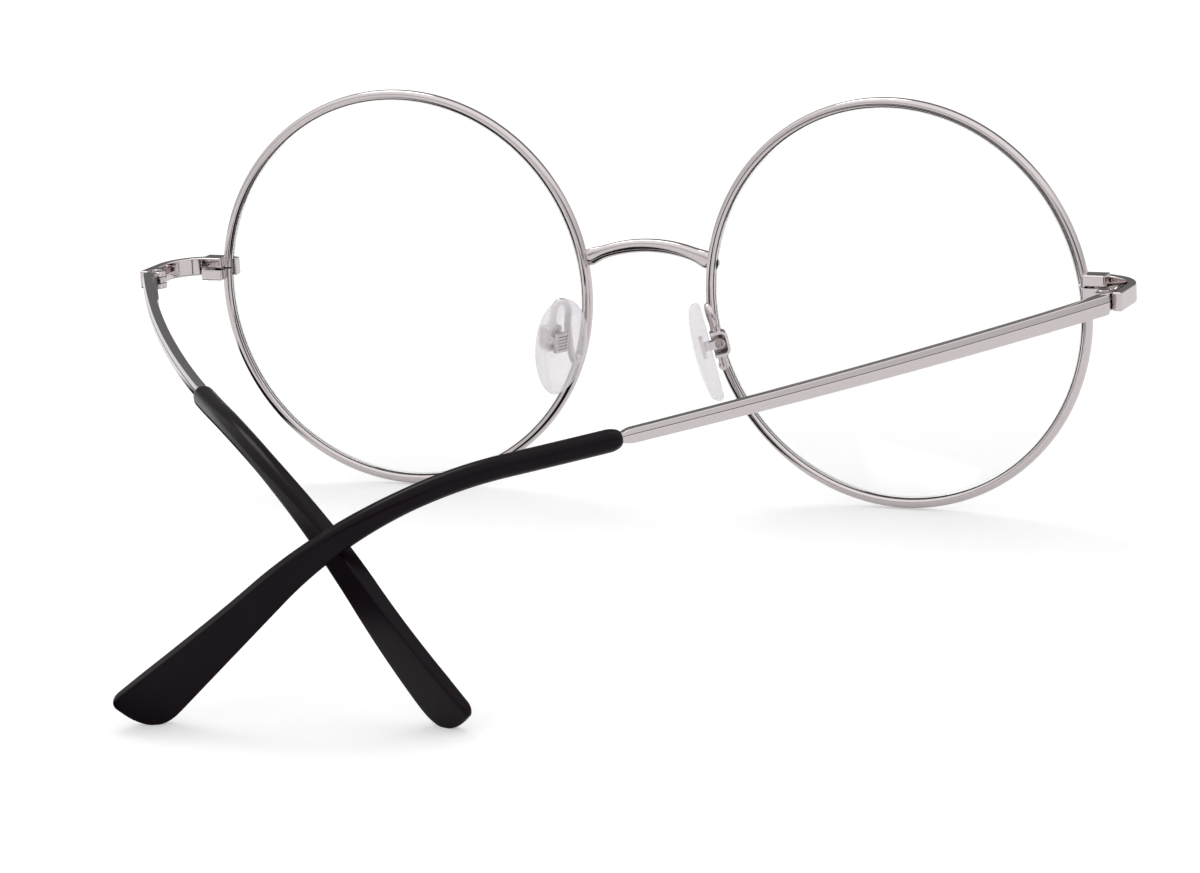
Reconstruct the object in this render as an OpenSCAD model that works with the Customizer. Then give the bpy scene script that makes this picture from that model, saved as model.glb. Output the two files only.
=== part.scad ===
// Round wire-rim eyeglasses, standing on the rims and a temple tip with the temples part folded.
// Datum: midway between the two lens centres. The front faces -Y, the temples run to +Y, +Z is up.
// Each left piece lies at +X. Its right partner mirrors it, with its own height, fold, pitch and bend.

/* [Lenses and rims] */
// Diameter of the lens at the tip of its edge bevel
lens_d = 54.6; // [48:0.1:58]
// Shortest distance between the two lenses
lens_gap = 18.9; // [15:0.1:23]
// Thickness of the lens
lens_t = 1.2; // [1:0.1:1.6]
// Radius of the lens's front surface
lens_curve = 200; // [120:5:400]
// Height of the bevel that stands out of the lens's edge
bevel_h = 0.5; // [0.35:0.05:0.6]
// Thickness of the rim wire, along the radius
rim_t = 1.3; // [1.2:0.05:1.8]
// Depth of the rim wire, front to back
rim_depth = 1.6; // [1.5:0.05:2.4]
// Turn of each rim about the vertical, outer edges backwards
face_wrap = 2.5; // [0:0.5:6]
// Width of the split in the rim between the closing blocks
rim_slit = 0.24; // [0.15:0.01:0.4]

/* [Bridge] */
// Height of the top of the bridge's centre line above the lens centres
bridge_top = 6.6; // [5:0.1:10]
// Radius of the bridge's arch
bridge_radius = 23; // [18:0.1:30]
// Height of the bridge's bar
bridge_h = 1.8; // [1.4:0.1:2.4]
// Depth of the bridge's bar, front to back
bridge_depth = 1.6; // [1.2:0.1:2.2]
// How far the bridge's ends show inside the rims
bridge_lap = 0.5; // [0.2:0.1:1]

/* [End pieces and closing blocks] */
// Height of the left end piece and hinge above the lens centres
hinge_z_left = 2.5; // [0:0.1:8]
// Height of the right end piece and hinge above the lens centres
hinge_z_right = 3.8; // [0:0.1:8]
// From the outer edge of the rim to the outer face of the end piece
end_reach = 7.7; // [6:0.1:11]
// From the datum plane back to the rear end of the end piece
end_back = 11.95; // [10:0.05:15]
// Thickness of the end piece
end_t = 1.3; // [1.1:0.1:1.8]
// Height of the end piece
end_h = 2.5; // [2.3:0.1:4]
// Radius of the end piece's sweep round from the front, outer face
end_sweep = 12.5; // [11:0.1:18]
// How far the end piece shows inside the rim
end_lap = 0.5; // [0.2:0.1:1]
// Length of the closing blocks, outwards from the rim
lock_l = 3.2; // [2.8:0.1:4]
// Depth of the closing blocks, front to back
lock_depth = 3.1; // [2.7:0.1:4]
// Height of the two closing blocks together
lock_h = 3.8; // [3.2:0.1:5]
// Radius of the closing screw's shank
lock_screw_r = 0.5; // [0.35:0.05:0.6]
// Radius of the closing screw's head
lock_head_r = 0.85; // [0.7:0.05:1]
// Height of the closing screw's head
lock_head_h = 0.4; // [0.3:0.05:0.6]

/* [Hinges] */
// Radius of the hinge knuckles
knuckle_r = 1.15; // [1:0.05:1.4]
// Height of the three knuckles together
knuckle_h = 2.4; // [2.2:0.1:3.4]
// Height of the middle knuckle, on the temple
knuckle_mid = 0.8; // [0.7:0.02:1]
// Thickness of the hinge's plates
leaf_t = 0.6; // [0.4:0.05:0.8]
// Length of the plate on the end piece
leaf_front_l = 3.4; // [2.5:0.1:4]
// Length of the plate on the temple
leaf_temple_l = 18; // [6:0.5:24]
// Length of the ramp at the end of the plate on the temple
leaf_ramp = 1.2; // [0.6:0.1:2]
// Radius of the hinge screw's shank
pin_r = 0.45; // [0.35:0.05:0.6]
// Radius of the hinge screw's head
pin_head_r = 0.85; // [0.7:0.05:1]
// Height of the hinge screw's head
pin_head_h = 0.35; // [0.25:0.05:0.6]

/* [Temples] */
// Length of the temple along its curve
temple_l = 151.3; // [140:0.1:160]
// Length of the metal bar as far as the tip
bar_l = 78.6; // [72:0.1:82]
// Thickness of the metal bar
bar_t = 1.2; // [1.1:0.1:1.8]
// Height of the metal bar at the hinge
bar_h = 2.65; // [2.4:0.05:4]
// Height of the metal bar where it meets the tip
bar_h_end = 1.85; // [1.6:0.05:2.2]
// Height of the ridge along the bar's outer face
bar_ridge = 0.25; // [0.1:0.05:0.4]
// Radius of the bar's bow, seen from above
bar_bow = 558; // [300:1:800]
// Radius of the wire that runs from the bar into the tip
core_r = 0.5; // [0.35:0.05:0.5]
// Length of the wire inside the tip
core_l = 10; // [6:0.5:12]
// Length along the left temple at which it starts to bend down
bend_start_left = 91.4; // [88:0.1:100]
// Length along the right temple at which it starts to bend down
bend_start_right = 95; // [88:0.1:100]
// Radius of the bends behind the ears
bend_radius = 47.8; // [40:0.1:80]
// Angle of the left temple's bend behind the ear
bend_angle_left = 48.6; // [30:0.1:55]
// Angle of the right temple's bend behind the ear
bend_angle_right = 39.6; // [30:0.1:55]
// Radius of the tips' inward curve, seen from above
tip_bow = 70; // [60:1:400]
// Height of the tip as far as its flare
tip_h = 2.8; // [2.4:0.1:4]
// Height of the tip at its end
tip_h_end = 7.5; // [5:0.1:8.5]
// Thickness of the tip as far as its flare
tip_t = 2.7; // [2.4:0.1:3.6]
// Thickness of the tip at its end
tip_t_end = 1.6; // [1.4:0.1:3]
// Length along the temple at which the tip starts to flare
flare_start = 108; // [100:1:125]
// Twist of the tip at its end, upper edge outwards
tip_twist = 26; // [0:1:35]

/* [Rest pose] */
// Fold of the left temple from fully open
fold_left = 29.9; // [0:0.1:32]
// Fold of the right temple from fully open
fold_right = 26; // [0:0.1:32]
// Downward pitch of the left temple
pitch_left = 0.1; // [0:0.05:4]
// Downward pitch of the right temple
pitch_right = 3.2; // [0:0.05:5]

/* [Nose pads] */
// Height of the pad
pad_h = 14; // [11:0.1:17]
// Width of the pad
pad_w = 7.5; // [6:0.1:9]
// Thickness of the pad
pad_t = 2.2; // [2:0.1:3]
// Distance of each pad's centre from the middle
pad_x = 10.7; // [10:0.1:13]
// Distance of the pads' centres behind the datum plane
pad_y = 5.5; // [5:0.1:8]
// Drop of the pads' centres below the lens centres
pad_drop = 6.5; // [4:0.1:9]
// Turn of the pad's face towards the back
pad_splay = 25; // [15:1:35]
// Lean of the pad's foot outwards
pad_lean = 12; // [8:1:24]
// Height of the pad's box above the pad's centre
box_rise = 0.8; // [0:0.1:1.5]
// Height of the pad's box
box_h = 3.5; // [3.4:0.1:4.5]
// Length of the pad's box, away from the pad
box_l = 2.3; // [2.3:0.1:3.6]
// Depth of the pad's box, front to back
box_depth = 2.2; // [2:0.1:3]
// Wall of the pad's box
box_wall = 0.4; // [0.3:0.05:0.45]
// Radius of the pad's pivot pin
pivot_r = 0.35; // [0.25:0.05:0.45]
// Radius of the pad's barrel round the pin
barrel_r = 0.8; // [0.65:0.05:0.85]
// Radius of the wire of the pad's arm
arm_r = 0.5; // [0.4:0.05:0.65]

/* [Fits] */
// Film of solder, glue or thread between fixed pieces
film = 0.01; // [0.005:0.005:0.02]
// Clearance all round the lens's bevel in its groove
lens_fit = 0.04; // [0.02:0.01:0.08]
// Radial clearance of a pin in a piece that turns on it
running_fit = 0.03; // [0.02:0.01:0.06]
// Gap between the faces of pieces that turn past each other
face_gap = 0.08; // [0.05:0.01:0.12]
// Gap between the end piece and the open temple
butt_gap = 0.45; // [0.35:0.05:0.8]
// Gap between the pad's back and its box
pad_gap = 0.25; // [0.2:0.05:0.7]

/* [Hidden] */
$fn = 96;
silver = [0.85, 0.82, 0.82];
steel = [0.72, 0.7, 0.71];
clear_lens = [0.9, 0.93, 0.95, 0.35];
silicone = [0.9, 0.89, 0.93, 0.7];
black = [0.11, 0.1, 0.11];

// Rim: the lens's bevel seats in the groove, and the shoulder passes inside the wire
lens_r = lens_d / 2;
groove_r = lens_r + lens_fit;
rim_in = groove_r - bevel_h;
rim_r = rim_in + rim_t / 2;
rim_out = rim_in + rim_t;
rim_x = lens_r + lens_gap / 2;
rim_round = 0.4;
groove_half = 0.9 * bevel_h;
// Front and back of the rim at the temple side and at the nose side, where the wrap moves it
rim_temple_x = rim_x + rim_out * cos(face_wrap);
rim_temple_y = rim_r * sin(face_wrap);
rim_nose_y = -rim_temple_y;

// End piece: an outer sweep from in front of the rim to the leg that carries the hinge
end_x = rim_temple_x + end_reach;
end_front = rim_temple_y - rim_depth / 2 - end_t + 0.15;
end_start = rim_x + rim_in * cos(face_wrap) - end_lap;
sweep_y = end_front + end_sweep;
leg_in = end_x - end_t;
sweep_outer = asin(min(1, (end_x - end_start) / end_sweep));
sweep_inner = asin(min(1, (leg_in - end_start) / (end_sweep - end_t)));

// Hinge: the knuckles clear the leg's inner face, and the open temple butts on the leg's end
hinge = [leg_in - film - knuckle_r - 0.14, end_back - 0.75];
bar_u = 0.75 + butt_gap;
bar_in = leg_in - hinge[0] - 0.2;
bar_v = bar_in + bar_t / 2;
knuckle_low = knuckle_mid / 2 + face_gap;

// Bends of the two temples: where each starts and its angle
bend_left = [bend_start_left, bend_angle_left];
bend_right = [bend_start_right, bend_angle_right];

// Temple curve: plan heading and drop at length s, both in degrees
function heading(s, bend) = (min(s, bend[0]) / bar_bow + max(0, s - bend[0]) / tip_bow) * 180 / PI;
function drop(s, bend) = min(bend[1], max(0, s - bend[0]) / bend_radius * 180 / PI);
function tangent(s, bend) =
    let (h = heading(s, bend), d = drop(s, bend)) [-cos(d) * sin(h), cos(d) * cos(h), -sin(d)];
function upward(s, bend) =
    let (h = heading(s, bend), d = drop(s, bend)) [-sin(d) * sin(h), sin(d) * cos(h), cos(d)];
function outward(s, bend) = [cos(heading(s, bend)), sin(heading(s, bend)), 0];
// Points of the curve at equal steps of length, from the front end of the bar
step = 0.5;
function steps(bend) = [
    for (
        i = 0, p = [bar_v, bar_u, 0];
        i <= temple_l / step + 6;
        p = p + step * tangent((i + 0.5) * step, bend), i = i + 1
    ) p
];
curve_left = steps(bend_left);
curve_right = steps(bend_right);
function along(s, bend) =
    let (p = bend == bend_left ? curve_left : curve_right)
    p[floor(s / step)] + (s - step * floor(s / step)) * tangent(s, bend);

// Tip's rounded ends, at the bar and at its free end
tip_start = bar_l + 0.2 * bar_t;
tip_nose_l = 0.6 * tip_h;
tip_end_l = 0.72 * tip_h_end;

// A temple point carried to the front's own frame
function turned(p, z, fold, pitch) =
    let (x = p[0] * cos(fold) - p[1] * sin(fold), y = p[0] * sin(fold) + p[1] * cos(fold))
    [hinge[0] + x, hinge[1] + y * cos(pitch) + p[2] * sin(pitch), z - y * sin(pitch) + p[2] * cos(pitch)];
// Lean of the front that sets both rims and one tip on a plane
function tip_lean(z, bend, fold, pitch) =
    let (
        s = temple_l - tip_end_l / 2,
        p = turned(along(s, bend) - tip_h_end * 0.47 * cos(tip_twist) * upward(s, bend), z, fold, pitch)
    )
    atan2(-rim_out - p[2], p[1]);
stand_lean = max(
    tip_lean(hinge_z_left, bend_left, fold_left, pitch_left),
    tip_lean(hinge_z_right, bend_right, fold_right, pitch_right)
);

// Tip: sections along the curve, each from its lower edge to its upper edge
tip_side = 7;
tip_stations = concat(
    [for (k = [0, 0.25, 0.6, 1]) tip_start + k * tip_nose_l],
    [for (k = [1 : 20]) tip_start + tip_nose_l + (temple_l - tip_end_l - tip_start - tip_nose_l) * k / 20],
    [for (k = [0.3, 0.55, 0.75, 0.88, 0.96, 1]) temple_l - tip_end_l + k * tip_end_l]
);
function flare(s) = max(0, min(1, (s - flare_start) / (temple_l - flare_start)));
function tip_half(s) = (tip_h + (tip_h_end - tip_h) * pow(flare(s), 1.75)) / 2;
function twist(s) = tip_twist * pow(flare(s), 1.75);
function tip_nose(s) = let (k = min(1, (s - tip_start) / tip_nose_l)) 0.6 + 0.4 * sqrt(1 - (1 - k) * (1 - k));
function tip_tail(s) = max(0, (s - temple_l + tip_end_l) / tip_end_l);
function round_off(k) = sqrt(max(0, 1 - k * k));
function tip_upper(s) =
    tip_half(s) * (0.72 + 0.28 * round_off(max(0, (tip_tail(s) - 0.72) / 0.28))) * tip_nose(s);
function tip_lower(s) = tip_half(s) * (-0.35 + 1.35 * round_off(pow(tip_tail(s), 1.5))) * tip_nose(s);
function tip_wide(s) =
    (tip_t + (tip_t_end - tip_t) * flare(s)) / 2 * tip_nose(s)
    * (0.5 + 0.5 * round_off(max(0, (tip_tail(s) - 0.7) / 0.3)));
function squircle(q) = pow(pow(abs(cos(q)), 2.4) + pow(abs(sin(q)), 2.4), -1 / 2.4) * [cos(q), sin(q)];
function tip_ring(s, bend) = [
    for (k = [0 : 2 * tip_side - 1])
        let (
            c = squircle((k + 0.5) * 180 / tip_side),
            top = tip_upper(s), low = tip_lower(s),
            h = (top - low) / 2 + (top + low) / 2 * c[1], w = tip_wide(s) * c[0], t = twist(s)
        )
        along(s, bend) + (w * cos(t) + h * sin(t)) * outward(s, bend)
            + (h * cos(t) - w * sin(t)) * upward(s, bend)
];

// Pad frame: X away from the nose, Y backwards along the pad's width, Z up its length
box_near = pad_t / 2 + pad_gap;
pad_pivot = box_near + box_l / 2 - 0.15;
pad_place = [pad_x, pad_y, -pad_drop];
function pad_point(p) =
    let (
        x = p[0] * cos(pad_lean) - p[2] * sin(pad_lean), z = p[0] * sin(pad_lean) + p[2] * cos(pad_lean)
    )
    pad_place + [x * cos(pad_splay) + p[1] * sin(pad_splay), p[1] * cos(pad_splay) - x * sin(pad_splay), z];
// Root of the pad's arm on the back of the rim
root_drop = 9.4;
root_reach = sqrt(rim_r * rim_r - root_drop * root_drop);
root = [
    rim_x - root_reach * cos(face_wrap), rim_depth / 2 + 0.1 - root_reach * sin(face_wrap), -root_drop
];

module stand() rotate([stand_lean, 0, 0]) children();
module right() mirror([1, 0, 0]) children();
module rim_place() translate([rim_x, 0, 0]) rotate([0, 0, face_wrap]) rotate([90, 0, 0]) children();
module hinge_place(z, pitch) translate([hinge[0], hinge[1], z]) rotate([-pitch, 0, 0]) children();
module hinge_left() stand() hinge_place(hinge_z_left, pitch_left) children();
module hinge_right() stand() right() hinge_place(hinge_z_right, pitch_right) children();
module arm_left() hinge_left() rotate([0, 0, fold_left]) children();
module arm_right() hinge_right() rotate([0, 0, fold_right]) children();
module pad_frame() translate(pad_place) rotate([0, 0, -pad_splay]) rotate([0, -pad_lean, 0]) children();

module block(low, high) translate(low) cube(high - low);

// Rounded rectangle about the origin
module rounded(w, h, r) {
    square([w, h - 2 * r], center = true);
    square([w - 2 * r, h], center = true);
    for (x = [-1, 1], y = [-1, 1]) translate([x * (w / 2 - r), y * (h / 2 - r)]) circle(r, $fn = 24);
}

// Point at t on a smooth curve through a list of points
function smooth(p, t) =
    let (
        n = len(p) - 1, i = max(0, min(n - 1, floor(t))), k = t - i, b = p[i], c = p[i + 1],
        a = i > 0 ? p[i - 1] : 2 * p[0] - p[1], d = i < n - 1 ? p[i + 2] : 2 * p[n] - p[n - 1]
    )
    (2 * b + k * (c - a) + k * k * (2 * a - 5 * b + 4 * c - d) + k * k * k * (3 * b - 3 * c + d - a)) / 2;
// Round wire along that curve; the reference direction is never along the wire
module wire(p, r, reference, sides = 12, turns = 4) {
    n = (len(p) - 1) * turns;
    rings = [
        for (i = [0 : n]) let (
            t = i / turns, d = smooth(p, t + 0.01) - smooth(p, t - 0.01),
            x = cross(d, reference) / norm(cross(d, reference)), y = cross(d, x) / norm(d)
        ) for (k = [0 : sides - 1]) smooth(p, t) + r * (cos(k * 360 / sides) * x + sin(k * 360 / sides) * y)
    ];
    polyhedron(points = rings, faces = concat(
        [[for (k = [sides - 1 : -1 : 0]) k]],
        [for (i = [0 : n - 1], k = [0 : sides - 1]) let (a = i * sides + k, b = i * sides + (k + 1) % sides)
            [a, b, b + sides, a + sides]],
        [[for (k = [0 : sides - 1]) n * sides + k]]
    ), convexity = 4);
}

// Ring of the rim without its groove, grown by a gap so that other pieces seat on it
module rim_ring(gap = 0) {
    rim_place() rotate_extrude()
        translate([rim_r, 0]) rounded(rim_t + 2 * gap, rim_depth + 2 * gap, rim_round);
}

module rim(z) {
    difference() {
        rim_ring();
        rim_place() rotate_extrude() polygon([
            [rim_in - 1, -groove_half - bevel_h], [rim_in - 1, groove_half + bevel_h],
            [rim_in, groove_half], [groove_r, 0], [rim_in, -groove_half]
        ]);
        translate([0, 0, z]) block(
            [rim_x, rim_temple_y - 2 * rim_depth, -rim_slit / 2],
            [rim_temple_x + 1, rim_temple_y + 2 * rim_depth, rim_slit / 2]
        );
    }
}
module rim_left() color(silver) stand() rim(hinge_z_left);
module rim_right() color(silver) stand() right() rim(hinge_z_right);

// Lens: a curved disc whose edge carries a bevel, bulging to the front
shoulder = rim_in - 2 * lens_fit;
sag = lens_curve - sqrt(lens_curve * lens_curve - shoulder * shoulder);
centre = lens_t / 2 + sag - lens_curve;
module lens() {
    back_curve = lens_curve - lens_t;
    bevel_half = 0.82 * bevel_h;
    rim_place() {
        difference() {
            intersection() {
                translate([0, 0, -lens_t]) cylinder(h = 3 * lens_t + sag, r = shoulder, $fn = 180);
                translate([0, 0, centre]) sphere(lens_curve, $fn = 180);
            }
            translate([0, 0, centre]) sphere(back_curve, $fn = 180);
        }
        difference() {
            for (m = [0, 1]) mirror([0, 0, m])
                cylinder(h = bevel_half, r1 = lens_r, r2 = shoulder - 0.1, $fn = 180);
            translate([0, 0, -1]) cylinder(h = 2, r = shoulder - 0.6, $fn = 180);
        }
    }
}
// Room for the lens inside the rim, from its front face backwards
module lens_room() {
    rim_place() intersection() {
        translate([0, 0, -3 * rim_depth]) cylinder(h = 6 * rim_depth, r = rim_in + 0.1);
        translate([0, 0, centre]) sphere(lens_curve + film, $fn = 180);
    }
}
module lens_left() color(clear_lens) stand() lens();
module lens_right() color(clear_lens) stand() right() lens();

// Bridge: an arched bar whose ends are notched over the front of the rims
module bridge() {
    reach = rim_x - rim_in * cos(face_wrap) + bridge_lap;
    span = asin(reach / bridge_radius);
    color(silver) stand() difference() {
        translate([0, rim_nose_y - rim_depth / 2 + 0.25, bridge_top - bridge_radius])
            rotate([90, 0, 0]) rotate([0, 0, 90 - span]) rotate_extrude(angle = 2 * span, $fn = 180)
                translate([bridge_radius, 0]) rounded(bridge_h, bridge_depth, 0.45);
        for (m = [0, 1]) mirror([m, 0, 0]) {
            rim_ring(film);
            lens_room();
        }
    }
}

// Plan of the end piece, with its inner side moved by a gap
module end_plan(gap = 0) {
    polygon(concat(
        [for (k = [0 : 12]) let (a = sweep_outer * k / 12)
            [end_start + end_sweep * sin(a), sweep_y - end_sweep * cos(a)]],
        [[end_x, end_back], [leg_in - gap, end_back]],
        [for (k = [12 : -1 : 0]) let (a = sweep_inner * k / 12, r = end_sweep - end_t - gap)
            [end_start + r * sin(a), sweep_y - r * cos(a)]]
    ));
}
module end_bar(gap = 0) {
    translate([0, 0, -end_h / 2 - gap]) linear_extrude(end_h + 2 * gap) end_plan(gap);
}
module end_piece(z) {
    difference() {
        translate([0, 0, z]) end_bar();
        rim_ring(film);
        lens_room();
    }
}
module end_piece_left() color(silver) stand() end_piece(hinge_z_left);
module end_piece_right() color(silver) stand() right() end_piece(hinge_z_right);

// Closing blocks: one on each end of the split rim, drawn together by a screw from below
lock_in = rim_x + rim_r * cos(face_wrap);
lock_back = rim_temple_y + lock_depth - 0.9;
lock_screw_at = [rim_temple_x + (lock_l - 0.7) / 2, lock_back - 0.15 - lock_head_r, 0];
module lock_block(z, low, high, bore) {
    difference() {
        translate([0, 0, z]) difference() {
            block([lock_in, rim_temple_y - 1, low], [lock_in + lock_l, lock_back, high]);
            end_bar(film);
            translate([0, 0, -lock_h]) linear_extrude(2 * lock_h) polygon([
                [rim_x, -20], [rim_x, sweep_y - end_sweep + end_t + film],
                for (k = [0 : 12]) let (a = sweep_inner * k / 12, r = end_sweep - end_t - film)
                    [end_start + r * sin(a), sweep_y - r * cos(a)],
                [end_x, -20]
            ]);
            translate(lock_screw_at - [0, 0, lock_h]) cylinder(h = lock_h * 1.8, r = bore, $fn = 32);
            translate(lock_screw_at - [0, 0, lock_h / 2 + 1])
                cylinder(h = 1 + lock_head_h, r = lock_head_r + running_fit, $fn = 32);
        }
        rim_ring(film);
    }
}
module lock_upper(z) lock_block(z, rim_slit / 2, lock_h / 2, lock_screw_r + film);
module lock_lower(z) lock_block(z, -lock_h / 2, -rim_slit / 2, lock_screw_r + running_fit);
module lock_upper_left() color(silver) stand() lock_upper(hinge_z_left);
module lock_upper_right() color(silver) stand() right() lock_upper(hinge_z_right);
module lock_lower_left() color(silver) stand() lock_lower(hinge_z_left);
module lock_lower_right() color(silver) stand() right() lock_lower(hinge_z_right);

// Screw with a slotted head at its foot
module screw(shank_r, length, head_r, head_h) {
    difference() {
        union() {
            cylinder(h = length, r = shank_r, $fn = 32);
            cylinder(h = head_h, r = head_r, $fn = 32);
        }
        block([-head_r - 1, -0.1, -1], [head_r + 1, 0.1, head_h / 2]);
    }
}
module lock_screw(z) {
    translate(lock_screw_at + [0, 0, z - lock_h / 2 + film])
        screw(lock_screw_r, lock_h * 0.92, lock_head_r, lock_head_h - 2 * film);
}
module lock_screw_left() color(steel) stand() lock_screw(hinge_z_left);
module lock_screw_right() color(steel) stand() right() lock_screw(hinge_z_right);

// Front half of the hinge: a plate on the end piece's inner face and two knuckles
module hinge_leaf() {
    face = leg_in - hinge[0] - film;
    difference() {
        union() {
            block([face - leaf_t, -leaf_front_l - knuckle_r, -knuckle_h / 2 + 0.15],
                [face, -knuckle_r - face_gap, knuckle_h / 2 - 0.15]);
            for (m = [0, 1]) mirror([0, 0, m]) {
                translate([0, 0, knuckle_low])
                    cylinder(h = knuckle_h / 2 - knuckle_low, r = knuckle_r, $fn = 48);
                block([face - leaf_t - 0.4, -knuckle_r - face_gap - 0.3, knuckle_low],
                    [face, 0, knuckle_h / 2]);
            }
        }
        translate([0, 0, -knuckle_h]) cylinder(h = 2 * knuckle_h, r = pin_r + film, $fn = 48);
    }
}
module hinge_leaf_left() color(silver) hinge_left() hinge_leaf();
module hinge_leaf_right() color(silver) hinge_right() hinge_leaf();

// Hinge screw: head on top, shank down through all three knuckles
module hinge_screw() {
    translate([0, 0, knuckle_h / 2 + pin_head_h + film]) mirror([0, 0, 1])
        screw(pin_r, knuckle_h + pin_head_h, pin_head_r, pin_head_h);
}
module hinge_screw_left() color(steel) hinge_left() hinge_screw();
module hinge_screw_right() color(steel) hinge_right() hinge_screw();

// Bar along its bow, with a ridge along the outer face
module bar_sweep() {
    centre = bar_v - bar_bow;
    translate([centre, bar_u, 0]) rotate_extrude(angle = bar_l / bar_bow * 180 / PI, $fn = 720) polygon([
        [bar_bow - bar_t / 2, -bar_h], [bar_bow + bar_t / 2 - bar_ridge, -bar_h],
        [bar_bow + bar_t / 2, bar_h * 0.05], [bar_bow + bar_t / 2 - bar_ridge, bar_h],
        [bar_bow - bar_t / 2, bar_h]
    ]);
}
// Side outline of the bar, tapering to the tip
module bar_side() {
    rotate([90, 0, 90]) translate([0, 0, -bar_bow / 4]) linear_extrude(bar_bow / 2) polygon([
        [0, -bar_h / 2], [0, bar_h / 2], [bar_l * 1.1, bar_h / 2 - 1.1 * (bar_h - bar_h_end) / 2],
        [bar_l * 1.1, -bar_h / 2 + 1.1 * (bar_h - bar_h_end) / 2]
    ]);
}
// Straight wire from inside the end of the bar into the tip
module core(r, length) {
    start = bar_l - 1.5 * core_r;
    turn = start / bar_bow * 180 / PI;
    translate([bar_v - bar_bow + bar_bow * cos(turn), bar_u + bar_bow * sin(turn), 0])
        rotate([0, 0, bar_l / bar_bow * 180 / PI]) rotate([-90, 0, 0]) cylinder(h = length, r = r, $fn = 32);
}
module temple_bar() {
    intersection() {
        bar_sweep();
        bar_side();
    }
    core(core_r, core_l + 3 * core_r);
}
module temple_bar_left() color(silver) arm_left() temple_bar();
module temple_bar_right() color(silver) arm_right() temple_bar();

// Temple half of the hinge: the middle knuckle and a plate that ramps down onto the bar
function leaf_face(u) = [bar_in - film - pow(u - bar_u, 2) / (2 * bar_bow - bar_t), u];
module temple_leaf() {
    start = knuckle_r + 0.25;
    difference() {
        union() {
            cylinder(h = knuckle_mid, r = knuckle_r, center = true, $fn = 48);
            block([-0.2, 0, -knuckle_mid / 2], [bar_in - leaf_t / 2, start + 0.4, knuckle_mid / 2]);
            translate([0, 0, -knuckle_h / 2 + 0.2]) linear_extrude(knuckle_h - 0.4) polygon(concat(
                [for (k = [0 : 4]) leaf_face(start + (leaf_temple_l + leaf_ramp) * k / 4)],
                [
                    leaf_face(start + leaf_temple_l + leaf_ramp) - [0.2, 0],
                    [bar_in - leaf_t, start + leaf_temple_l], [bar_in - leaf_t, start]
                ]
            ));
        }
        cylinder(h = 2 * knuckle_h, r = pin_r + running_fit, center = true, $fn = 48);
    }
}
module temple_leaf_left() color(silver) arm_left() temple_leaf();
module temple_leaf_right() color(silver) arm_right() temple_leaf();

// Acetate tip: rings joined into one closed skin, bored for the bar's wire
module temple_tip(bend) {
    n = 2 * tip_side;
    last = len(tip_stations) - 1;
    points = [for (s = tip_stations) each tip_ring(s, bend)];
    difference() {
        polyhedron(points = points, faces = concat(
            [for (k = [1 : n - 2]) [0, k, k + 1]],
            [for (i = [0 : last - 1], k = [0 : n - 1])
                let (a = i * n + k, b = i * n + (k + 1) % n) each [[a, a + n, b], [b, a + n, b + n]]],
            [for (k = [1 : n - 2]) [last * n, last * n + k + 1, last * n + k]]
        ), convexity = 4);
        core(core_r + film, core_l + 3 * core_r + film);
    }
}
module temple_tip_left() color(black) arm_left() temple_tip(bend_left);
module temple_tip_right() color(black) arm_right() temple_tip(bend_right);

// Pad's arm: a wire from the rim's back, up and over, then down into the top of the box
module pad_arm() {
    difference() {
        wire([
            root - [0, 0.3, 0], root + [0.5, 0.6, 0.4], pad_point([2.25, -3, 1.6]), pad_point([2, -2.6, 4.2]),
            pad_point([2, -1.9, 5.6]), pad_point([2.1, -0.8, 5.8]), pad_point([2.3, -0.2, 4.8]),
            pad_point([2.35, -0.1, box_rise + box_h / 2 + film])
        ], arm_r, [1, -1, 0]);
        rim_ring(film);
    }
}
module pad_arm_left() color(silver) stand() pad_arm();
module pad_arm_right() color(silver) stand() right() pad_arm();

// Pad's box: open towards the pad and the back, its front wall holds the pivot pin
module box_space(gap = 0) {
    block([box_near - gap, -box_depth / 2 - gap, box_rise - box_h / 2 - gap],
        [box_near + box_l + gap, box_depth / 2 + gap, box_rise + box_h / 2 + gap]);
}
module pad_box() {
    pad_frame() difference() {
        box_space();
        block([0, -box_depth / 2 + box_wall, box_rise - box_h / 2 + box_wall],
            [box_near + box_l - box_wall, box_depth, box_rise + box_h / 2 - box_wall]);
        translate([pad_pivot, 0, box_rise]) rotate([90, 0, 0])
            cylinder(h = 2 * box_depth, r = pivot_r + film, center = true, $fn = 32);
    }
}
module pad_box_left() color(silver) stand() pad_box();
module pad_box_right() color(silver) stand() right() pad_box();

// Pivot pin: fixed in the box's front wall, with a head behind the pad's barrel
barrel_front = -box_depth / 2 + box_wall + face_gap;
barrel_back = box_depth / 2 - 0.4;
module pad_pin() {
    pad_frame() translate([pad_pivot, 0, box_rise]) rotate([-90, 0, 0]) {
        translate([0, 0, -box_depth / 2])
            cylinder(h = box_depth / 2 + barrel_back + face_gap + 0.1, r = pivot_r, $fn = 32);
        translate([0, 0, barrel_back + face_gap]) cylinder(h = 0.3, r = barrel_r - 0.2, $fn = 32);
    }
}
module pad_pin_left() color(steel) stand() pad_pin();
module pad_pin_right() color(steel) stand() right() pad_pin();

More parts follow.
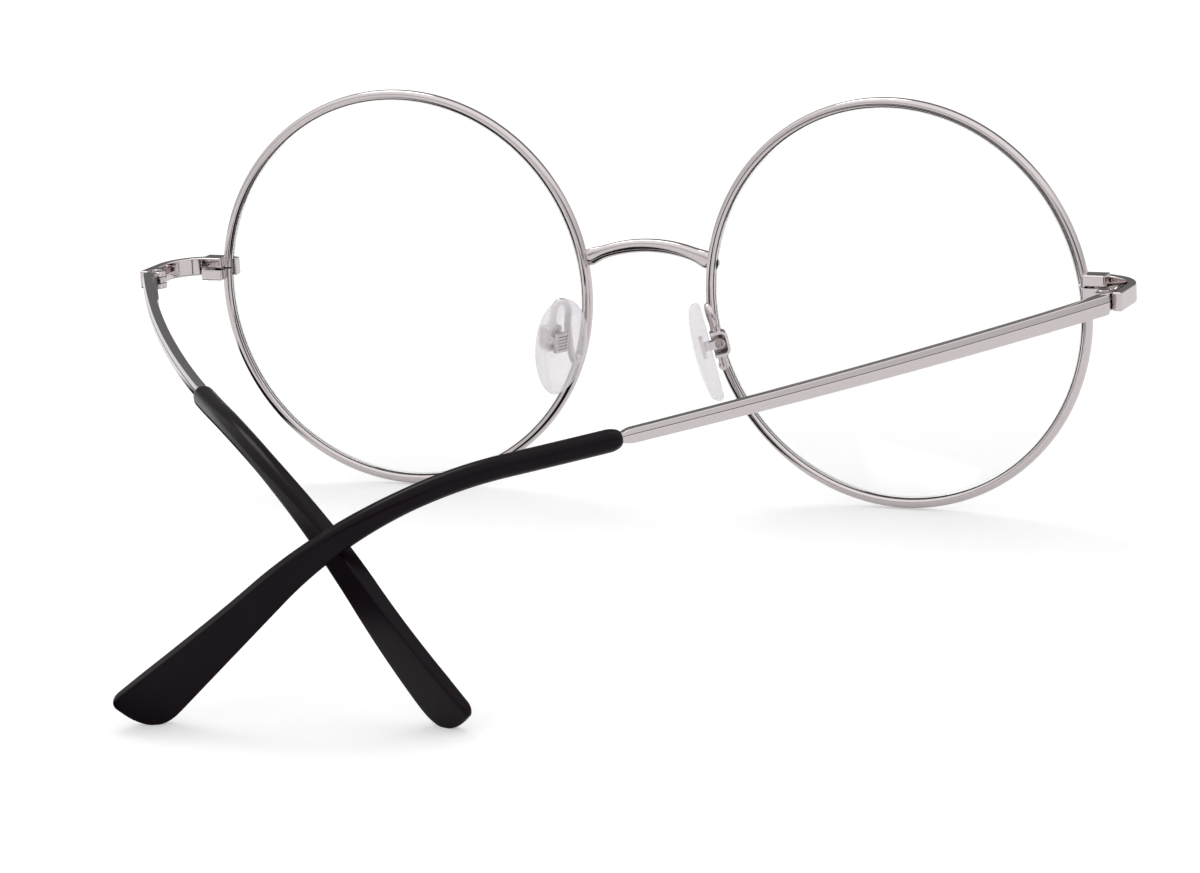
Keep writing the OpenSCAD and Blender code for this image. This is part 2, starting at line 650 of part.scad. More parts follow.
// Pad's core: a plate moulded into the pad, a neck and the barrel that turns on the pin
plate_t = 0.5;
module core_plate(gap = 0) {
    translate([0, 0, box_rise])
        block([-plate_t / 2 - gap, -1.2 - gap, -2.1 - gap], [plate_t / 2 + gap, 1.2 + gap, 2.1 + gap]);
}
module core_neck(gap = 0) {
    translate([0, 0, box_rise])
        block([0, barrel_front - gap, -0.55 - gap],
            [pad_pivot - pivot_r - 0.15, barrel_back + gap, 0.55 + gap]);
}
module pad_core() {
    pad_frame() {
        core_plate();
        core_neck();
        translate([pad_pivot, 0, box_rise]) rotate([-90, 0, 0]) difference() {
            translate([0, 0, barrel_front]) cylinder(h = barrel_back - barrel_front, r = barrel_r, $fn = 48);
            cylinder(h = 2 * box_depth, r = pivot_r + running_fit, center = true, $fn = 48);
        }
    }
}
module pad_core_left() color(steel) stand() pad_core();
module pad_core_right() color(steel) stand() right() pad_core();

// Silicone pad: an egg-shaped outline with a crowned face towards the nose
module nose_pad() {
    crown = 22;
    pad_frame() difference() {
        intersection() {
            rotate([0, 90, 0]) translate([0, 0, -pad_t / 2]) linear_extrude(pad_t) polygon([
                for (k = [0 : 31]) let (a = k * 360 / 32)
                    [pad_h / 2 * cos(a), pad_w / 2 * sin(a) * (1 + 0.14 * cos(a))]
            ]);
            translate([crown - pad_t / 2, 0, 0]) sphere(crown, $fn = 96);
        }
        core_plate(film);
        core_neck(film);
    }
}
module nose_pad_left() color(silicone) stand() nose_pad();
module nose_pad_right() color(silicone) stand() right() nose_pad();

rim_left();
rim_right();
lens_left();
lens_right();
bridge();
end_piece_left();
end_piece_right();
lock_upper_left();
lock_upper_right();
lock_lower_left();
lock_lower_right();
lock_screw_left();
lock_screw_right();
hinge_leaf_left();
hinge_leaf_right();
hinge_screw_left();
hinge_screw_right();
temple_leaf_left();
temple_leaf_right();
temple_bar_left();
temple_bar_right();
temple_tip_left();
temple_tip_right();
pad_arm_left();
pad_arm_right();
pad_box_left();
pad_box_right();
pad_pin_left();
pad_pin_right();
pad_core_left();
pad_core_right();
nose_pad_left();
nose_pad_right();
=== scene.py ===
"""Round wire-rim eyeglasses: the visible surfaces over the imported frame.

Sizes are in millimetres, in the frame of the front: +X to the wearer's left, +Y backwards
along the temples, +Z up, with the origin between the two rims. Right-hand pieces are the
left-hand ones mirrored in X. The whole pair then leans by STAND_LEAN degrees, so that it
stands on both rims and the right temple's tip, and is scaled to metres.
"""

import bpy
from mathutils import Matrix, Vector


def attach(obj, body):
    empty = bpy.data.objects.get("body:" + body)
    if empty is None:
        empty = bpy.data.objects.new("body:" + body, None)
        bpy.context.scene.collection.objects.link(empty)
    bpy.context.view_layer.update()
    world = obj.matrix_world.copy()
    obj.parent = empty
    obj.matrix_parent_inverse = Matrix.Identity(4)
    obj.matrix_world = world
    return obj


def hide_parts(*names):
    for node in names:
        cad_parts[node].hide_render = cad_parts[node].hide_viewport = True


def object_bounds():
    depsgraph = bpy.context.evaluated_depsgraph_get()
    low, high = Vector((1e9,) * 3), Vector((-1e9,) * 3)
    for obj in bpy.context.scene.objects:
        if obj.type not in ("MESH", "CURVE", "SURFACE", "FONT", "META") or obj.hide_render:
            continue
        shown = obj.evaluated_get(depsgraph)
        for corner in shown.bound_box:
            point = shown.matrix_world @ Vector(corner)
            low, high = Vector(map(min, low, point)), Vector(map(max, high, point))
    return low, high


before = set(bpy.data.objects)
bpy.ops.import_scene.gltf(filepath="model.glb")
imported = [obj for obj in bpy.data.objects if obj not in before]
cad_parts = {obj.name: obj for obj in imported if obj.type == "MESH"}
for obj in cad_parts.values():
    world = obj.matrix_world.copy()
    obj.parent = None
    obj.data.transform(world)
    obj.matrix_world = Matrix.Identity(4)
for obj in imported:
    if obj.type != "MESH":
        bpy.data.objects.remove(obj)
CAD_BOX = [list(corner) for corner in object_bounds()]

import logging
from dataclasses import dataclass
from enum import Enum
from functools import cache
from math import asin, cos, pi, radians, sin, sqrt
from typing import Sequence

import bmesh
import bpy
import numpy as np
from bpy.types import Material, Mesh, Node, NodeSocket, NodeTree, Object
from mathutils import Matrix, Vector

Pair = tuple[float, float]
Triple = tuple[float, float, float]

log = logging.getLogger("eyeglasses")

MM = 0.001
STAND_LEAN = 0.273262
QUADRANTS = ((1, 1), (-1, 1), (-1, -1), (1, -1))


class Side(Enum):
    """Side of the wearer, with the sign of its X."""

    LEFT = 1
    RIGHT = -1

    @property
    def word(self) -> str:
        """Name of the side in piece and node names."""
        return self.name.lower()

    @property
    def matrix(self) -> Matrix:
        """Mirror for the right side, then the lean of the whole pair."""
        return Matrix.Rotation(radians(STAND_LEAN), 4, "X") @ Matrix.Diagonal((self.value, 1, 1, 1))


@dataclass(frozen=True)
class Fitting:
    """Sizes that an optician has set apart on the two sides: hinge, folded temple and its bend."""

    hinge_z: float
    fold: float
    pitch: float
    bend_start: float
    bend_angle: float


FITTINGS = {
    Side.LEFT: Fitting(hinge_z=2.5, fold=29.9, pitch=0.1, bend_start=91.4, bend_angle=48.6),
    Side.RIGHT: Fitting(hinge_z=3.8, fold=26.0, pitch=3.2, bend_start=95.0, bend_angle=39.6),
}


def turn(axis: str, degrees: float) -> Matrix:
    """Rotation about one axis, in degrees."""
    return Matrix.Rotation(radians(degrees), 4, axis)


def shift(x: float, y: float, z: float) -> Matrix:
    """Translation in millimetres."""
    return Matrix.Translation((x, y, z))


@dataclass
class Shell:
    """A closed skin: points in millimetres and the faces between them."""

    points: np.ndarray
    faces: list[tuple[int, ...]]

    def moved(self, matrix: Matrix) -> "Shell":
        """The same skin carried by a matrix."""
        turned = np.array(matrix.to_3x3())
        return Shell(self.points @ turned.T + np.array(matrix.translation), self.faces)


def sweep(rings: Sequence[np.ndarray], closed: bool = False) -> Shell:
    """Skins a row of rings.

    Args:
        rings: Rings of points, each with the same number of points in the same order.
        closed: Whether the last ring meets the first. If not, a face closes each end.

    Returns:
        The closed skin.
    """
    points = np.array(rings, dtype=float)
    count, around = points.shape[:2]
    faces = []
    for i in range(count if closed else count - 1):
        low, high = i * around, (i + 1) % count * around
        for k in range(around):
            after = (k + 1) % around
            faces.append((low + k, low + after, high + after, high + k))
    if not closed:
        faces += [tuple(range(around))[::-1], tuple(range((count - 1) * around, count * around))]
    return Shell(points.reshape(-1, 3), faces)


def round_steps(count: int) -> np.ndarray:
    """Angles of equal steps round a circle."""
    return np.arange(count) * 2 * pi / count


def lathe(profile: Sequence[Pair], around: int = 48) -> Shell:
    """Turns a profile about the Z axis.

    Args:
        profile: Points (radius, height) from one end of the axis to the other.
        around: Number of points in each ring.

    Returns:
        The closed skin.
    """
    angles = round_steps(around)
    circle = np.column_stack([np.cos(angles), np.sin(angles)])
    return sweep([np.column_stack([r * circle, np.full(around, z)]) for r, z in profile])


def prism(outline: Sequence[Pair], low: float, high: float) -> Shell:
    """Raises a flat outline in X and Y from one height to another.

    Args:
        outline: Corners of the outline in order.
        low: Height of the lower face.
        high: Height of the upper face.

    Returns:
        The closed skin.
    """
    flat = np.array(outline, dtype=float)
    return sweep([np.column_stack([flat, np.full(len(flat), z)]) for z in (low, high)])


def block(low: Sequence[float], high: Sequence[float]) -> Shell:
    """Block between two corners, as stock for a fused piece."""
    outline = [(low[0], low[1]), (high[0], low[1]), (high[0], high[1]), (low[0], high[1])]
    return prism(outline, low[2], high[2])


def rounded(width: float, height: float, radius: float, steps: int = 5) -> np.ndarray:
    """Outline of a rectangle with round corners about the origin.

    Args:
        width: Size along the first axis.
        height: Size along the second axis.
        radius: Radius of the corners.
        steps: Number of straight steps in each corner.

    Returns:
        Corners of the outline, counterclockwise.
    """
    points = []
    for quarter, (x, y) in enumerate(QUADRANTS):
        cx, cy = x * (width / 2 - radius), y * (height / 2 - radius)
        for k in range(steps + 1):
            a = (quarter + k / steps) * pi / 2
            points.append((cx + radius * cos(a), cy + radius * sin(a)))
    return np.array(points)


def skin_mesh(shell: Shell, name: str) -> Mesh:
    """Blender mesh of a skin, welded and with its faces turned outwards.

    Args:
        shell: The skin.
        name: Name of the mesh.

    Returns:
        The mesh, in the units of the skin.
    """
    work = bmesh.new()
    corners = [work.verts.new(point) for point in shell.points]
    for face in shell.faces:
        work.faces.new([corners[i] for i in face])
    bmesh.ops.remove_doubles(work, verts=work.verts, dist=1e-4)
    bmesh.ops.recalc_face_normals(work, faces=work.faces)
    mesh = bpy.data.meshes.new(name)
    work.to_mesh(mesh)
    work.free()
    return mesh


def linked(name: str, data: bpy.types.ID) -> Object:
    """New object with its data, in the scene."""
    thing = bpy.data.objects.new(name, data)
    bpy.context.scene.collection.objects.link(thing)
    return thing


def evaluated(piece: Object) -> Mesh:
    """Mesh of an object with its modifiers applied."""
    return bpy.data.meshes.new_from_object(piece.evaluated_get(bpy.context.evaluated_depsgraph_get()))


def fused(solids: Sequence[Shell], cuts: Sequence[Shell] = ()) -> Shell:
    """Joins skins into one and takes others away from it.

    Args:
        solids: Skins that are joined.
        cuts: Skins that are taken away afterwards.

    Returns:
        The skin that is left.
    """
    tools = [linked("stock", skin_mesh(shell, "stock")) for shell in [*solids, *cuts]]
    for index, tool in enumerate(tools[1:], start=1):
        modifier = tools[0].modifiers.new(f"step {index}", "BOOLEAN")
        modifier.operation = "UNION" if index < len(solids) else "DIFFERENCE"
        modifier.solver = "EXACT"
        modifier.object = tool
    mesh = evaluated(tools[0])
    points = np.array([vertex.co[:] for vertex in mesh.vertices])
    faces = [tuple(face.vertices) for face in mesh.polygons]
    for tool in tools:
        bpy.data.objects.remove(tool)
    return Shell(points, faces)


def smooth_line(points: Sequence[Sequence[float]], each: int) -> np.ndarray:
    """Smooth curve through points.

    Args:
        points: Points that the curve passes.
        each: Number of steps between two points.

    Returns:
        Points along the curve.
    """
    p = np.array(points, dtype=float)
    p = np.vstack([2 * p[0] - p[1], p, 2 * p[-1] - p[-2]])
    line = []
    for i in range(1, len(p) - 2):
        a, b, c, d = p[i - 1:i + 3]
        square, cube = 2 * a - 5 * b + 4 * c - d, 3 * b - 3 * c + d - a
        line += [(2 * b + k * (c - a) + k**2 * square + k**3 * cube) / 2 for k in np.arange(each) / each]
    return np.array([*line, p[-2]])


def tube(line: np.ndarray, radii: np.ndarray, reference: Sequence[float], around: int = 20) -> Shell:
    """Round wire along a curve.

    Args:
        line: Points along the curve.
        radii: Radius at each point.
        reference: A direction that the wire never takes.
        around: Number of points in each ring.

    Returns:
        The closed skin.
    """
    along = np.gradient(line, axis=0)
    rings = []
    angles = round_steps(around)
    for centre, direction, radius in zip(line, along, radii):
        x = np.cross(direction, reference)
        x /= np.linalg.norm(x)
        y = np.cross(direction, x) / np.linalg.norm(direction)
        rings.append(centre + radius * (np.outer(np.cos(angles), x) + np.outer(np.sin(angles), y)))
    return sweep(rings)


def screw_shell(shank_r: float, length: float, head_r: float, head_h: float) -> Shell:
    """Screw that stands on its slotted head.

    Args:
        shank_r: Radius of the shank.
        length: Length with the head.
        head_r: Radius of the head.
        head_h: Height of the head.

    Returns:
        The closed skin.
    """
    profile = [(0, 0), (head_r * 0.8, 0), (head_r, head_h * 0.3), (head_r, head_h)]
    profile += [(shank_r, head_h), (shank_r, length), (0, length)]
    slot = block((-head_r - 1, -0.12, -1), (head_r + 1, 0.12, head_h * 0.5))
    return fused([lathe(profile)], [slot])


def arch(x: float) -> float:
    """Height of a quarter circle of radius 1 at x, and 1 before it begins."""
    return sqrt(max(0.0, 1 - max(0.0, x) ** 2))


def linear(colour: str) -> tuple[float, float, float, float]:
    """Linear colour of an sRGB hex value such as "#d8cfd0"."""
    parts = [int(colour[i:i + 2], 16) / 255 for i in (1, 3, 5)]
    return (*[c / 12.92 if c <= 0.04045 else ((c + 0.055) / 1.055) ** 2.4 for c in parts], 1.0)


def add_node(
    tree: NodeTree, kind: str, settings: dict[str, object] | None = None,
    inputs: dict[str | int, object] | None = None,
) -> Node:
    """Adds a node with its settings, values and links.

    Args:
        tree: Node tree that gets the node.
        kind: Type of the node without "ShaderNode".
        settings: Properties of the node by name.
        inputs: Values, or sockets to link from, by the name or number of the input. A node stands
            for its first output.

    Returns:
        The node.
    """
    node = tree.nodes.new("ShaderNode" + kind)
    for name, value in (settings or {}).items():
        setattr(node, name, value)
    for name, value in (inputs or {}).items():
        value = value.outputs[0] if isinstance(value, Node) else value
        if isinstance(value, NodeSocket):
            tree.links.new(value, node.inputs[name])
        else:
            node.inputs[name].default_value = value
    return node


def new_tree(name: str) -> tuple[Material, NodeTree]:
    """Empty node material."""
    material = bpy.data.materials.new(name)
    material.use_nodes = True
    material.node_tree.nodes.clear()
    return material, material.node_tree


@dataclass(frozen=True)
class Finish:
    """A material and the way in which its surface was made.

    Each of its patterns is a noise, given by its size in millimetres and its detail.
    """

    slot: str
    name: str
    patterns: tuple[Pair, ...]

    def shader(self, tree: NodeTree, *patterns: Node) -> Node:
        """Adds the nodes of the surface.

        Args:
            tree: Node tree of the material.
            patterns: The finish's patterns.

        Returns:
            The shader.
        """
        raise NotImplementedError

    @cache
    def material(self) -> Material:
        """The material, built on its first use."""
        material, tree = new_tree(self.name)
        place = add_node(tree, "TexCoord").outputs["Object"]
        patterns = [
            add_node(tree, "TexNoise", inputs={"Vector": place, "Scale": 1 / (size * MM), "Detail": detail})
            for size, detail in self.patterns
        ]
        add_node(tree, "OutputMaterial", inputs={"Surface": self.shader(tree, *patterns)})
        return material


@dataclass(frozen=True)
class PolishedPlate(Finish):
    """Nickel silver, plated with palladium and polished.

    The eye gets a pale, faintly pink mirror whose reflections waver a little where the
    polishing wheel has passed.
    """

    slot: str = "polished_metal"
    name: str = "palladium_plated_nickel_silver_polished"
    # Waves that polishing leaves, about two millimetres long, and haze in the plating
    patterns: tuple[Pair, ...] = ((1.8, 2.0), (0.35, 3.0))
    colour: str = "#e6dede"
    dull_colour: str = "#dad1d1"
    # Painted shade: the dark colour that corners and recesses get
    corner_colour: str = "#3a3033"
    roughness: Pair = (0.03, 0.09)
    wave_height: float = 0.004
    # Distance within which the ambient occlusion paints shade into corners
    reach: float = 1.4

    def shader(self, tree: NodeTree, *patterns: Node) -> Node:
        """Adds the nodes of the plating, as for every finish."""
        wave, haze = patterns
        rough = add_node(tree, "MapRange", inputs={
            "Value": haze, "From Min": 0.3, "From Max": 0.7,
            "To Min": self.roughness[0], "To Max": self.roughness[1],
        })
        tint = add_node(tree, "Mix", {"data_type": "RGBA"}, {
            "Factor": haze, 6: linear(self.colour), 7: linear(self.dull_colour),
        })
        # Painted shade: corners and recesses that the ambient occlusion finds are darkened towards a dark
        # colour, standing in for the shade that falls there
        reach = add_node(tree, "AmbientOcclusion", {"only_local": True, "samples": 8}, {
            "Distance": self.reach * MM,
        })
        corner = add_node(tree, "MapRange", inputs={
            "Value": reach.outputs["AO"], "From Min": 0.35, "From Max": 0.9, "To Min": 0.12, "To Max": 1.0,
        })
        tint = add_node(tree, "Mix", {"data_type": "RGBA"}, {
            "Factor": corner, 6: linear(self.corner_colour), 7: tint.outputs[2],
        })
        bump = add_node(tree, "Bump", inputs={
            "Strength": 0.35, "Distance": self.wave_height * MM, "Height": wave,
        })
        return add_node(tree, "BsdfPrincipled", inputs={
            "Base Color": tint.outputs[2], "Metallic": 1.0, "Roughness": rough, "Normal": bump,
        })


@dataclass(frozen=True)
class TurnedSteel(Finish):
    """Stainless steel, turned on a lathe.

    The eye gets a grey metal, less bright than the plating, with fine rings.
    """

    slot: str = "screw_steel"
    name: str = "stainless_steel_turned"
    # Turning marks, drawn at an eighth of a millimetre because the real ones are too fine to show
    patterns: tuple[Pair, ...] = ((0.12, 2.0),)
    colour: str = "#b3abab"
    mark_height: float = 0.003

    def shader(self, tree: NodeTree, *patterns: Node) -> Node:
        """Adds the nodes of the steel, as for every finish."""
        marks = patterns[0]
        rough = add_node(tree, "MapRange", inputs={"Value": marks, "To Min": 0.18, "To Max": 0.34})
        bump = add_node(tree, "Bump", inputs={
            "Strength": 0.3, "Distance": self.mark_height * MM, "Height": marks,
        })
        return add_node(tree, "BsdfPrincipled", inputs={
            "Base Color": linear(self.colour), "Metallic": 1.0, "Roughness": rough, "Normal": bump,
        })


@dataclass(frozen=True)
class CoatedLens(Finish):
    """Cast resin lens with a hard coat and an antireflection film.

    The eye gets an almost invisible clear sheet, with a weak reflection.
    """

    slot: str = "clear_lens"
    name: str = "resin_lens_cast_and_coated"
    # Wipe marks in the coat, a few millimetres long
    patterns: tuple[Pair, ...] = ((6.0, 3.0),)
    colour: str = "#ffffff"

    def shader(self, tree: NodeTree, *patterns: Node) -> Node:
        """Adds the nodes of the lens, as for every finish."""
        rough = add_node(tree, "MapRange", inputs={"Value": patterns[0], "To Min": 0.0, "To Max": 0.03})
        return add_node(tree, "BsdfPrincipled", inputs={
            "Base Color": linear(self.colour), "Roughness": rough, "IOR": 1.5,
            "Transmission Weight": 1.0, "Specular IOR Level": 0.08,
        })


@dataclass(frozen=True)
class MouldedSilicone(Finish):
    """Clear silicone rubber, moulded.

    The eye gets a milky, faintly lilac body that shows the metal inside it as through mist. The
    mist is a partly see-through white, since so thin a body hardly bends what lies behind it.
    """

    slot: str = "clear_silicone"
    name: str = "silicone_rubber_moulded"
    # Cloudiness of the rubber, a millimetre or two across
    patterns: tuple[Pair, ...] = ((1.6, 2.0),)
    colour: str = "#fffbff"
    cloud_colour: str = "#f8f3f7"
    roughness: Pair = (0.1, 0.24)
    skin: Pair = (0.1, 0.2)
    deep: Pair = (0.44, 0.56)
    back_mark: str = "back"

    def shader(self, tree: NodeTree, *patterns: Node) -> Node:
        """Adds the nodes of the rubber, as for every finish."""
        cloud = patterns[0]
        tint = add_node(tree, "Mix", {"data_type": "RGBA"}, {
            "Factor": cloud, 6: linear(self.colour), 7: linear(self.cloud_colour),
        })
        # The face towards the nose hides little, and the edge and the back of the body more
        rough, skin, deep = (
            add_node(tree, "MapRange", inputs={"Value": cloud, "To Min": low, "To Max": high})
            for low, high in (self.roughness, self.skin, self.deep)
        )
        back = add_node(tree, "Attribute", {"attribute_name": self.back_mark}).outputs["Fac"]
        mist = add_node(tree, "MapRange", inputs={"Value": back, "To Min": skin, "To Max": deep})
        return add_node(tree, "BsdfPrincipled", inputs={
            "Base Color": tint.outputs[2], "Roughness": rough, "IOR": 1.41,
            "Specular IOR Level": 0.15, "Alpha": mist,
        })


@dataclass(frozen=True)
class TumbledAcetate(Finish):
    """Cellulose acetate, tumbled to a gloss.

    The eye gets a deep brownish black with soft, slightly grainy highlights.
    """

    slot: str = "black_acetate"
    name: str = "cellulose_acetate_tumbled"
    # Clouds in the sheet, and the grain that tumbling leaves, drawn coarser so that it shows
    patterns: tuple[Pair, ...] = ((5.0, 2.0), (0.2, 3.0))
    colour: str = "#0f080e"
    warm_colour: str = "#180e15"
    roughness: Pair = (0.2, 0.3)
    grain_height: float = 0.004

    def shader(self, tree: NodeTree, *patterns: Node) -> Node:
        """Adds the nodes of the acetate, as for every finish."""
        cloud, grain = patterns
        tint = add_node(tree, "Mix", {"data_type": "RGBA"}, {
            "Factor": cloud, 6: linear(self.colour), 7: linear(self.warm_colour),
        })
        rough = add_node(tree, "MapRange", inputs={
            "Value": grain, "To Min": self.roughness[0], "To Max": self.roughness[1],
        })
        bump = add_node(tree, "Bump", inputs={
            "Strength": 0.3, "Distance": self.grain_height * MM, "Height": grain,
        })
        return add_node(tree, "BsdfPrincipled", inputs={
            "Base Color": tint.outputs[2], "Roughness": rough, "IOR": 1.48,
            "Specular IOR Level": 0.12, "Normal": bump,
        })


PLATE = PolishedPlate()
STEEL = TurnedSteel()
LENS = CoatedLens()
SILICONE = MouldedSilicone()
ACETATE = TumbledAcetate()


def make_piece(
    name: str, nodes: Sequence[str], shell: Shell, place: Matrix, finish: Finish, *,
    side: Side | None = None, body: str = "front", edge: float = 0.0, sharp: float = 32.0,
) -> Object:
    """Makes a piece, dresses it and hands it to the frame.

    Args:
        name: Name of the piece.
        nodes: Nodes of the frame that it stands for.
        shell: Its skin in millimetres.
        place: Matrix from the skin's frame to the standing pair.
        finish: Finish of the piece.
        side: Side that its name and nodes get added, where each side has its own.
        body: Body of the frame that carries it.
        edge: Width of the bevel on its sharp edges, or 0.
        sharp: Edges that bend by more degrees than this stay sharp in the shading.

    Returns:
        The piece.
    """
    if side is not None:
        name, nodes = f"{side.word}_{name}", [f"{node}_{side.word}" for node in nodes]
    piece = linked(name, skin_mesh(shell.moved(place), name))
    if edge:
        bevel = piece.modifiers.new("edges", "BEVEL")
        bevel.width = edge
        bevel.segments = 4
        bevel.limit_method = "ANGLE"
        bevel.angle_limit = radians(28)
        piece.modifiers.new("normals", "WEIGHTED_NORMAL").weight = 80
    piece.data.polygons.foreach_set("use_smooth", [True] * len(piece.data.polygons))
    if edge:
        mesh = evaluated(piece)
        piece.modifiers.clear()
        piece.data = mesh
    else:
        piece.data.set_sharp_from_angle(angle=radians(sharp))
    piece.data.transform(Matrix.Scale(MM, 4))
    piece.data.materials.clear()
    piece.data.materials.append(finish.material())
    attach(piece, body)
    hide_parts(*nodes)
    log.info("%s: %d faces on %s for %s", name, len(piece.data.polygons), body, ", ".join(nodes))
    return piece


@dataclass
class Rim:
    """Grooved wire ring, split at the temple side, with its lens."""

    side: Side
    centre_x: float = 36.75
    wrap: float = 2.5
    inner: float = 26.84
    wire: float = 1.3
    depth: float = 1.6
    corner: float = 0.58
    groove: float = 0.54
    groove_mouth: float = 0.9
    groove_floor: float = 0.12
    split: float = 0.24
    lens_r: float = 27.3
    lens_t: float = 1.2
    lens_curve: float = 200.0
    lens_gap: float = 0.08
    lens_bevel: float = 0.82
    lens_chamfer: Pair = (0.15, 0.1)

    @property
    def place(self) -> Matrix:
        """From the ring's frame, +Z to the front, to the standing pair."""
        return self.side.matrix @ shift(self.centre_x, 0, 0) @ turn("Z", self.wrap) @ turn("X", 90)

    def wire_shell(self) -> Shell:
        """Skin of the grooved wire."""
        middle = self.inner + self.wire / 2
        outline = rounded(self.wire, self.depth, self.corner, 9) + [middle, 0]
        # The groove takes the place of the section's inner face
        flat = np.abs(outline[:, 1]) < self.depth / 2 - self.corner + 0.01
        inside = outline[(outline[:, 0] < self.inner + 0.01) & flat]
        keep = [p for p in outline if not any(np.allclose(p, q) for q in inside)]
        first = max(range(len(keep)), key=lambda i: (keep[i][0] < self.inner + 0.05) * (keep[i][1] + 9))
        keep = keep[first + 1:] + keep[:first + 1]
        mouth, floor, deep = self.groove_mouth / 2, self.groove_floor / 2, self.inner + self.groove
        groove = [(self.inner, mouth), (deep, floor), (deep, -floor), (self.inner, -mouth)]
        profile = np.array(keep + groove)
        split_z = FITTINGS[self.side].hinge_z
        start, stop = (asin((split_z + gap) / middle) for gap in (self.split / 2, -self.split / 2))
        return sweep([
            np.column_stack([profile[:, 0] * cos(a), profile[:, 0] * sin(a), profile[:, 1]])
            for a in np.linspace(start, stop + 2 * pi, 300)
        ])

    def lens_shell(self) -> Shell:
        """Skin of the lens, with the bevel that sits in the groove."""
        shoulder = self.inner - self.lens_gap
        flat, bevel = self.lens_t / 2 - self.lens_chamfer[1], self.lens_bevel / 2
        back = self.lens_curve - self.lens_t
        sag = self.lens_curve - sqrt(self.lens_curve**2 - shoulder**2)
        middle = self.lens_t / 2 + sag - self.lens_curve
        rim = shoulder - self.lens_chamfer[0]
        front = [(r, middle + sqrt(self.lens_curve**2 - r**2)) for r in np.linspace(0, rim, 16)]
        rear = [(r, middle + sqrt(back**2 - r**2)) for r in np.linspace(rim, 0, 16)]
        edge = [(shoulder, flat), (shoulder, bevel), (self.lens_r, 0.0)]
        edge += [(shoulder, -bevel), (shoulder, -flat)]
        return lathe(front + edge + rear, 180)

    def build(self) -> None:
        """Makes the wire and the lens."""
        make_piece("rim_wire", ["rim"], self.wire_shell(), self.place, PLATE, side=self.side, sharp=40)
        make_piece("lens_disc", ["lens"], self.lens_shell(), self.place, LENS, side=self.side, sharp=30)


@dataclass
class Bridge:
    """Arched bar, soldered over the front of both rims."""

    top: float = 6.6
    radius: float = 23.0
    height: float = 1.8
    depth: float = 1.6
    corner: float = 0.55
    crown: float = 0.03
    reach: float = 10.44
    centre_y: float = -1.75
    bow: float = 0.6
    rim_side: float = 8.7
    solder: float = 0.3
    solder_l: float = 1.2

    def shell(self) -> Shell:
        """Skin of the bar, swelling in the solder where it meets the rims."""
        span = asin(self.reach / self.radius)
        section = rounded(self.height, self.depth, self.corner, 8)
        section[:, 1] *= 1 - self.crown * (2 * section[:, 0] / self.height) ** 2
        stations = [np.linspace(-1, -0.96, 10), np.linspace(-0.95, 0.95, 90), np.linspace(0.96, 1, 10)]
        rings = []
        for k in np.concatenate(stations):
            near = (abs(self.radius * sin(k * span)) - self.rim_side) / self.solder_l
            if near < 0:
                swell = 1 + self.solder * np.exp(-near**2)
            else:
                swell = 1 + self.solder - self.solder * min(1.0, near)
            # The end is rounded off over its last 0.4 mm
            rounding = sqrt(max(0.04, 1 - max(0.0, (abs(k) - 0.96) / 0.04) ** 2))
            r = self.radius + section[:, 0] * swell * rounding
            y = self.centre_y - self.bow * (1 - min(1.0, abs(k) / 0.85) ** 2) + section[:, 1] * rounding
            rings.append(np.column_stack([r * sin(k * span), y, self.top - self.radius + r * cos(k * span)]))
        return sweep(rings)

    def build(self) -> None:
        """Makes the bar."""
        make_piece("bridge_bar", ["bridge"], self.shell(), turn("X", STAND_LEAN), PLATE, sharp=40)


@dataclass
class EndPiece:
    """Strip over the front of the rim, swept round to the leg that carries the hinge."""

    side: Side
    start: float = 63.0645
    front: float = -0.7509
    sweep_r: float = 12.5
    thickness: float = 1.3
    height: float = 2.5
    outside: float = 72.5632
    back: float = 11.95
    outer_ease: float = 3.2
    inner_ease: float = 2.2

    def plan(self) -> list[Pair]:
        """Outline of the strip seen from above, with its bend rounded."""
        centre_y = self.front + self.sweep_r
        sides = []
        for inset, ease in ((0.0, self.outer_ease), (self.thickness, self.inner_ease)):
            radius, limit = self.sweep_r - inset, self.outside - inset
            stop = asin(min(1.0, (limit - self.start) / radius))
            bend = np.array([limit, centre_y - radius * cos(stop)])
            arc = [
                np.array([self.start + radius * sin(a), centre_y - radius * cos(a)])
                for a in np.linspace(0, max(0.1, stop - ease / radius), 22)
            ]
            leave = bend + [0, ease]
            steps = np.linspace(0, 1, 11)[1:]
            eased = [(1 - k) ** 2 * arc[-1] + 2 * k * (1 - k) * bend + k**2 * leave for k in steps]
            sides.append([tuple(point) for point in [*arc, *eased, np.array([limit, self.back])]])
        return sides[0] + sides[1][::-1]

    def build(self) -> None:
        """Makes the strip."""
        middle_z = FITTINGS[self.side].hinge_z
        strip = prism(self.plan(), middle_z - self.height / 2, middle_z + self.height / 2)
        make_piece("end_strip", ["end_piece"], strip, self.side.matrix, PLATE, side=self.side, edge=0.22)


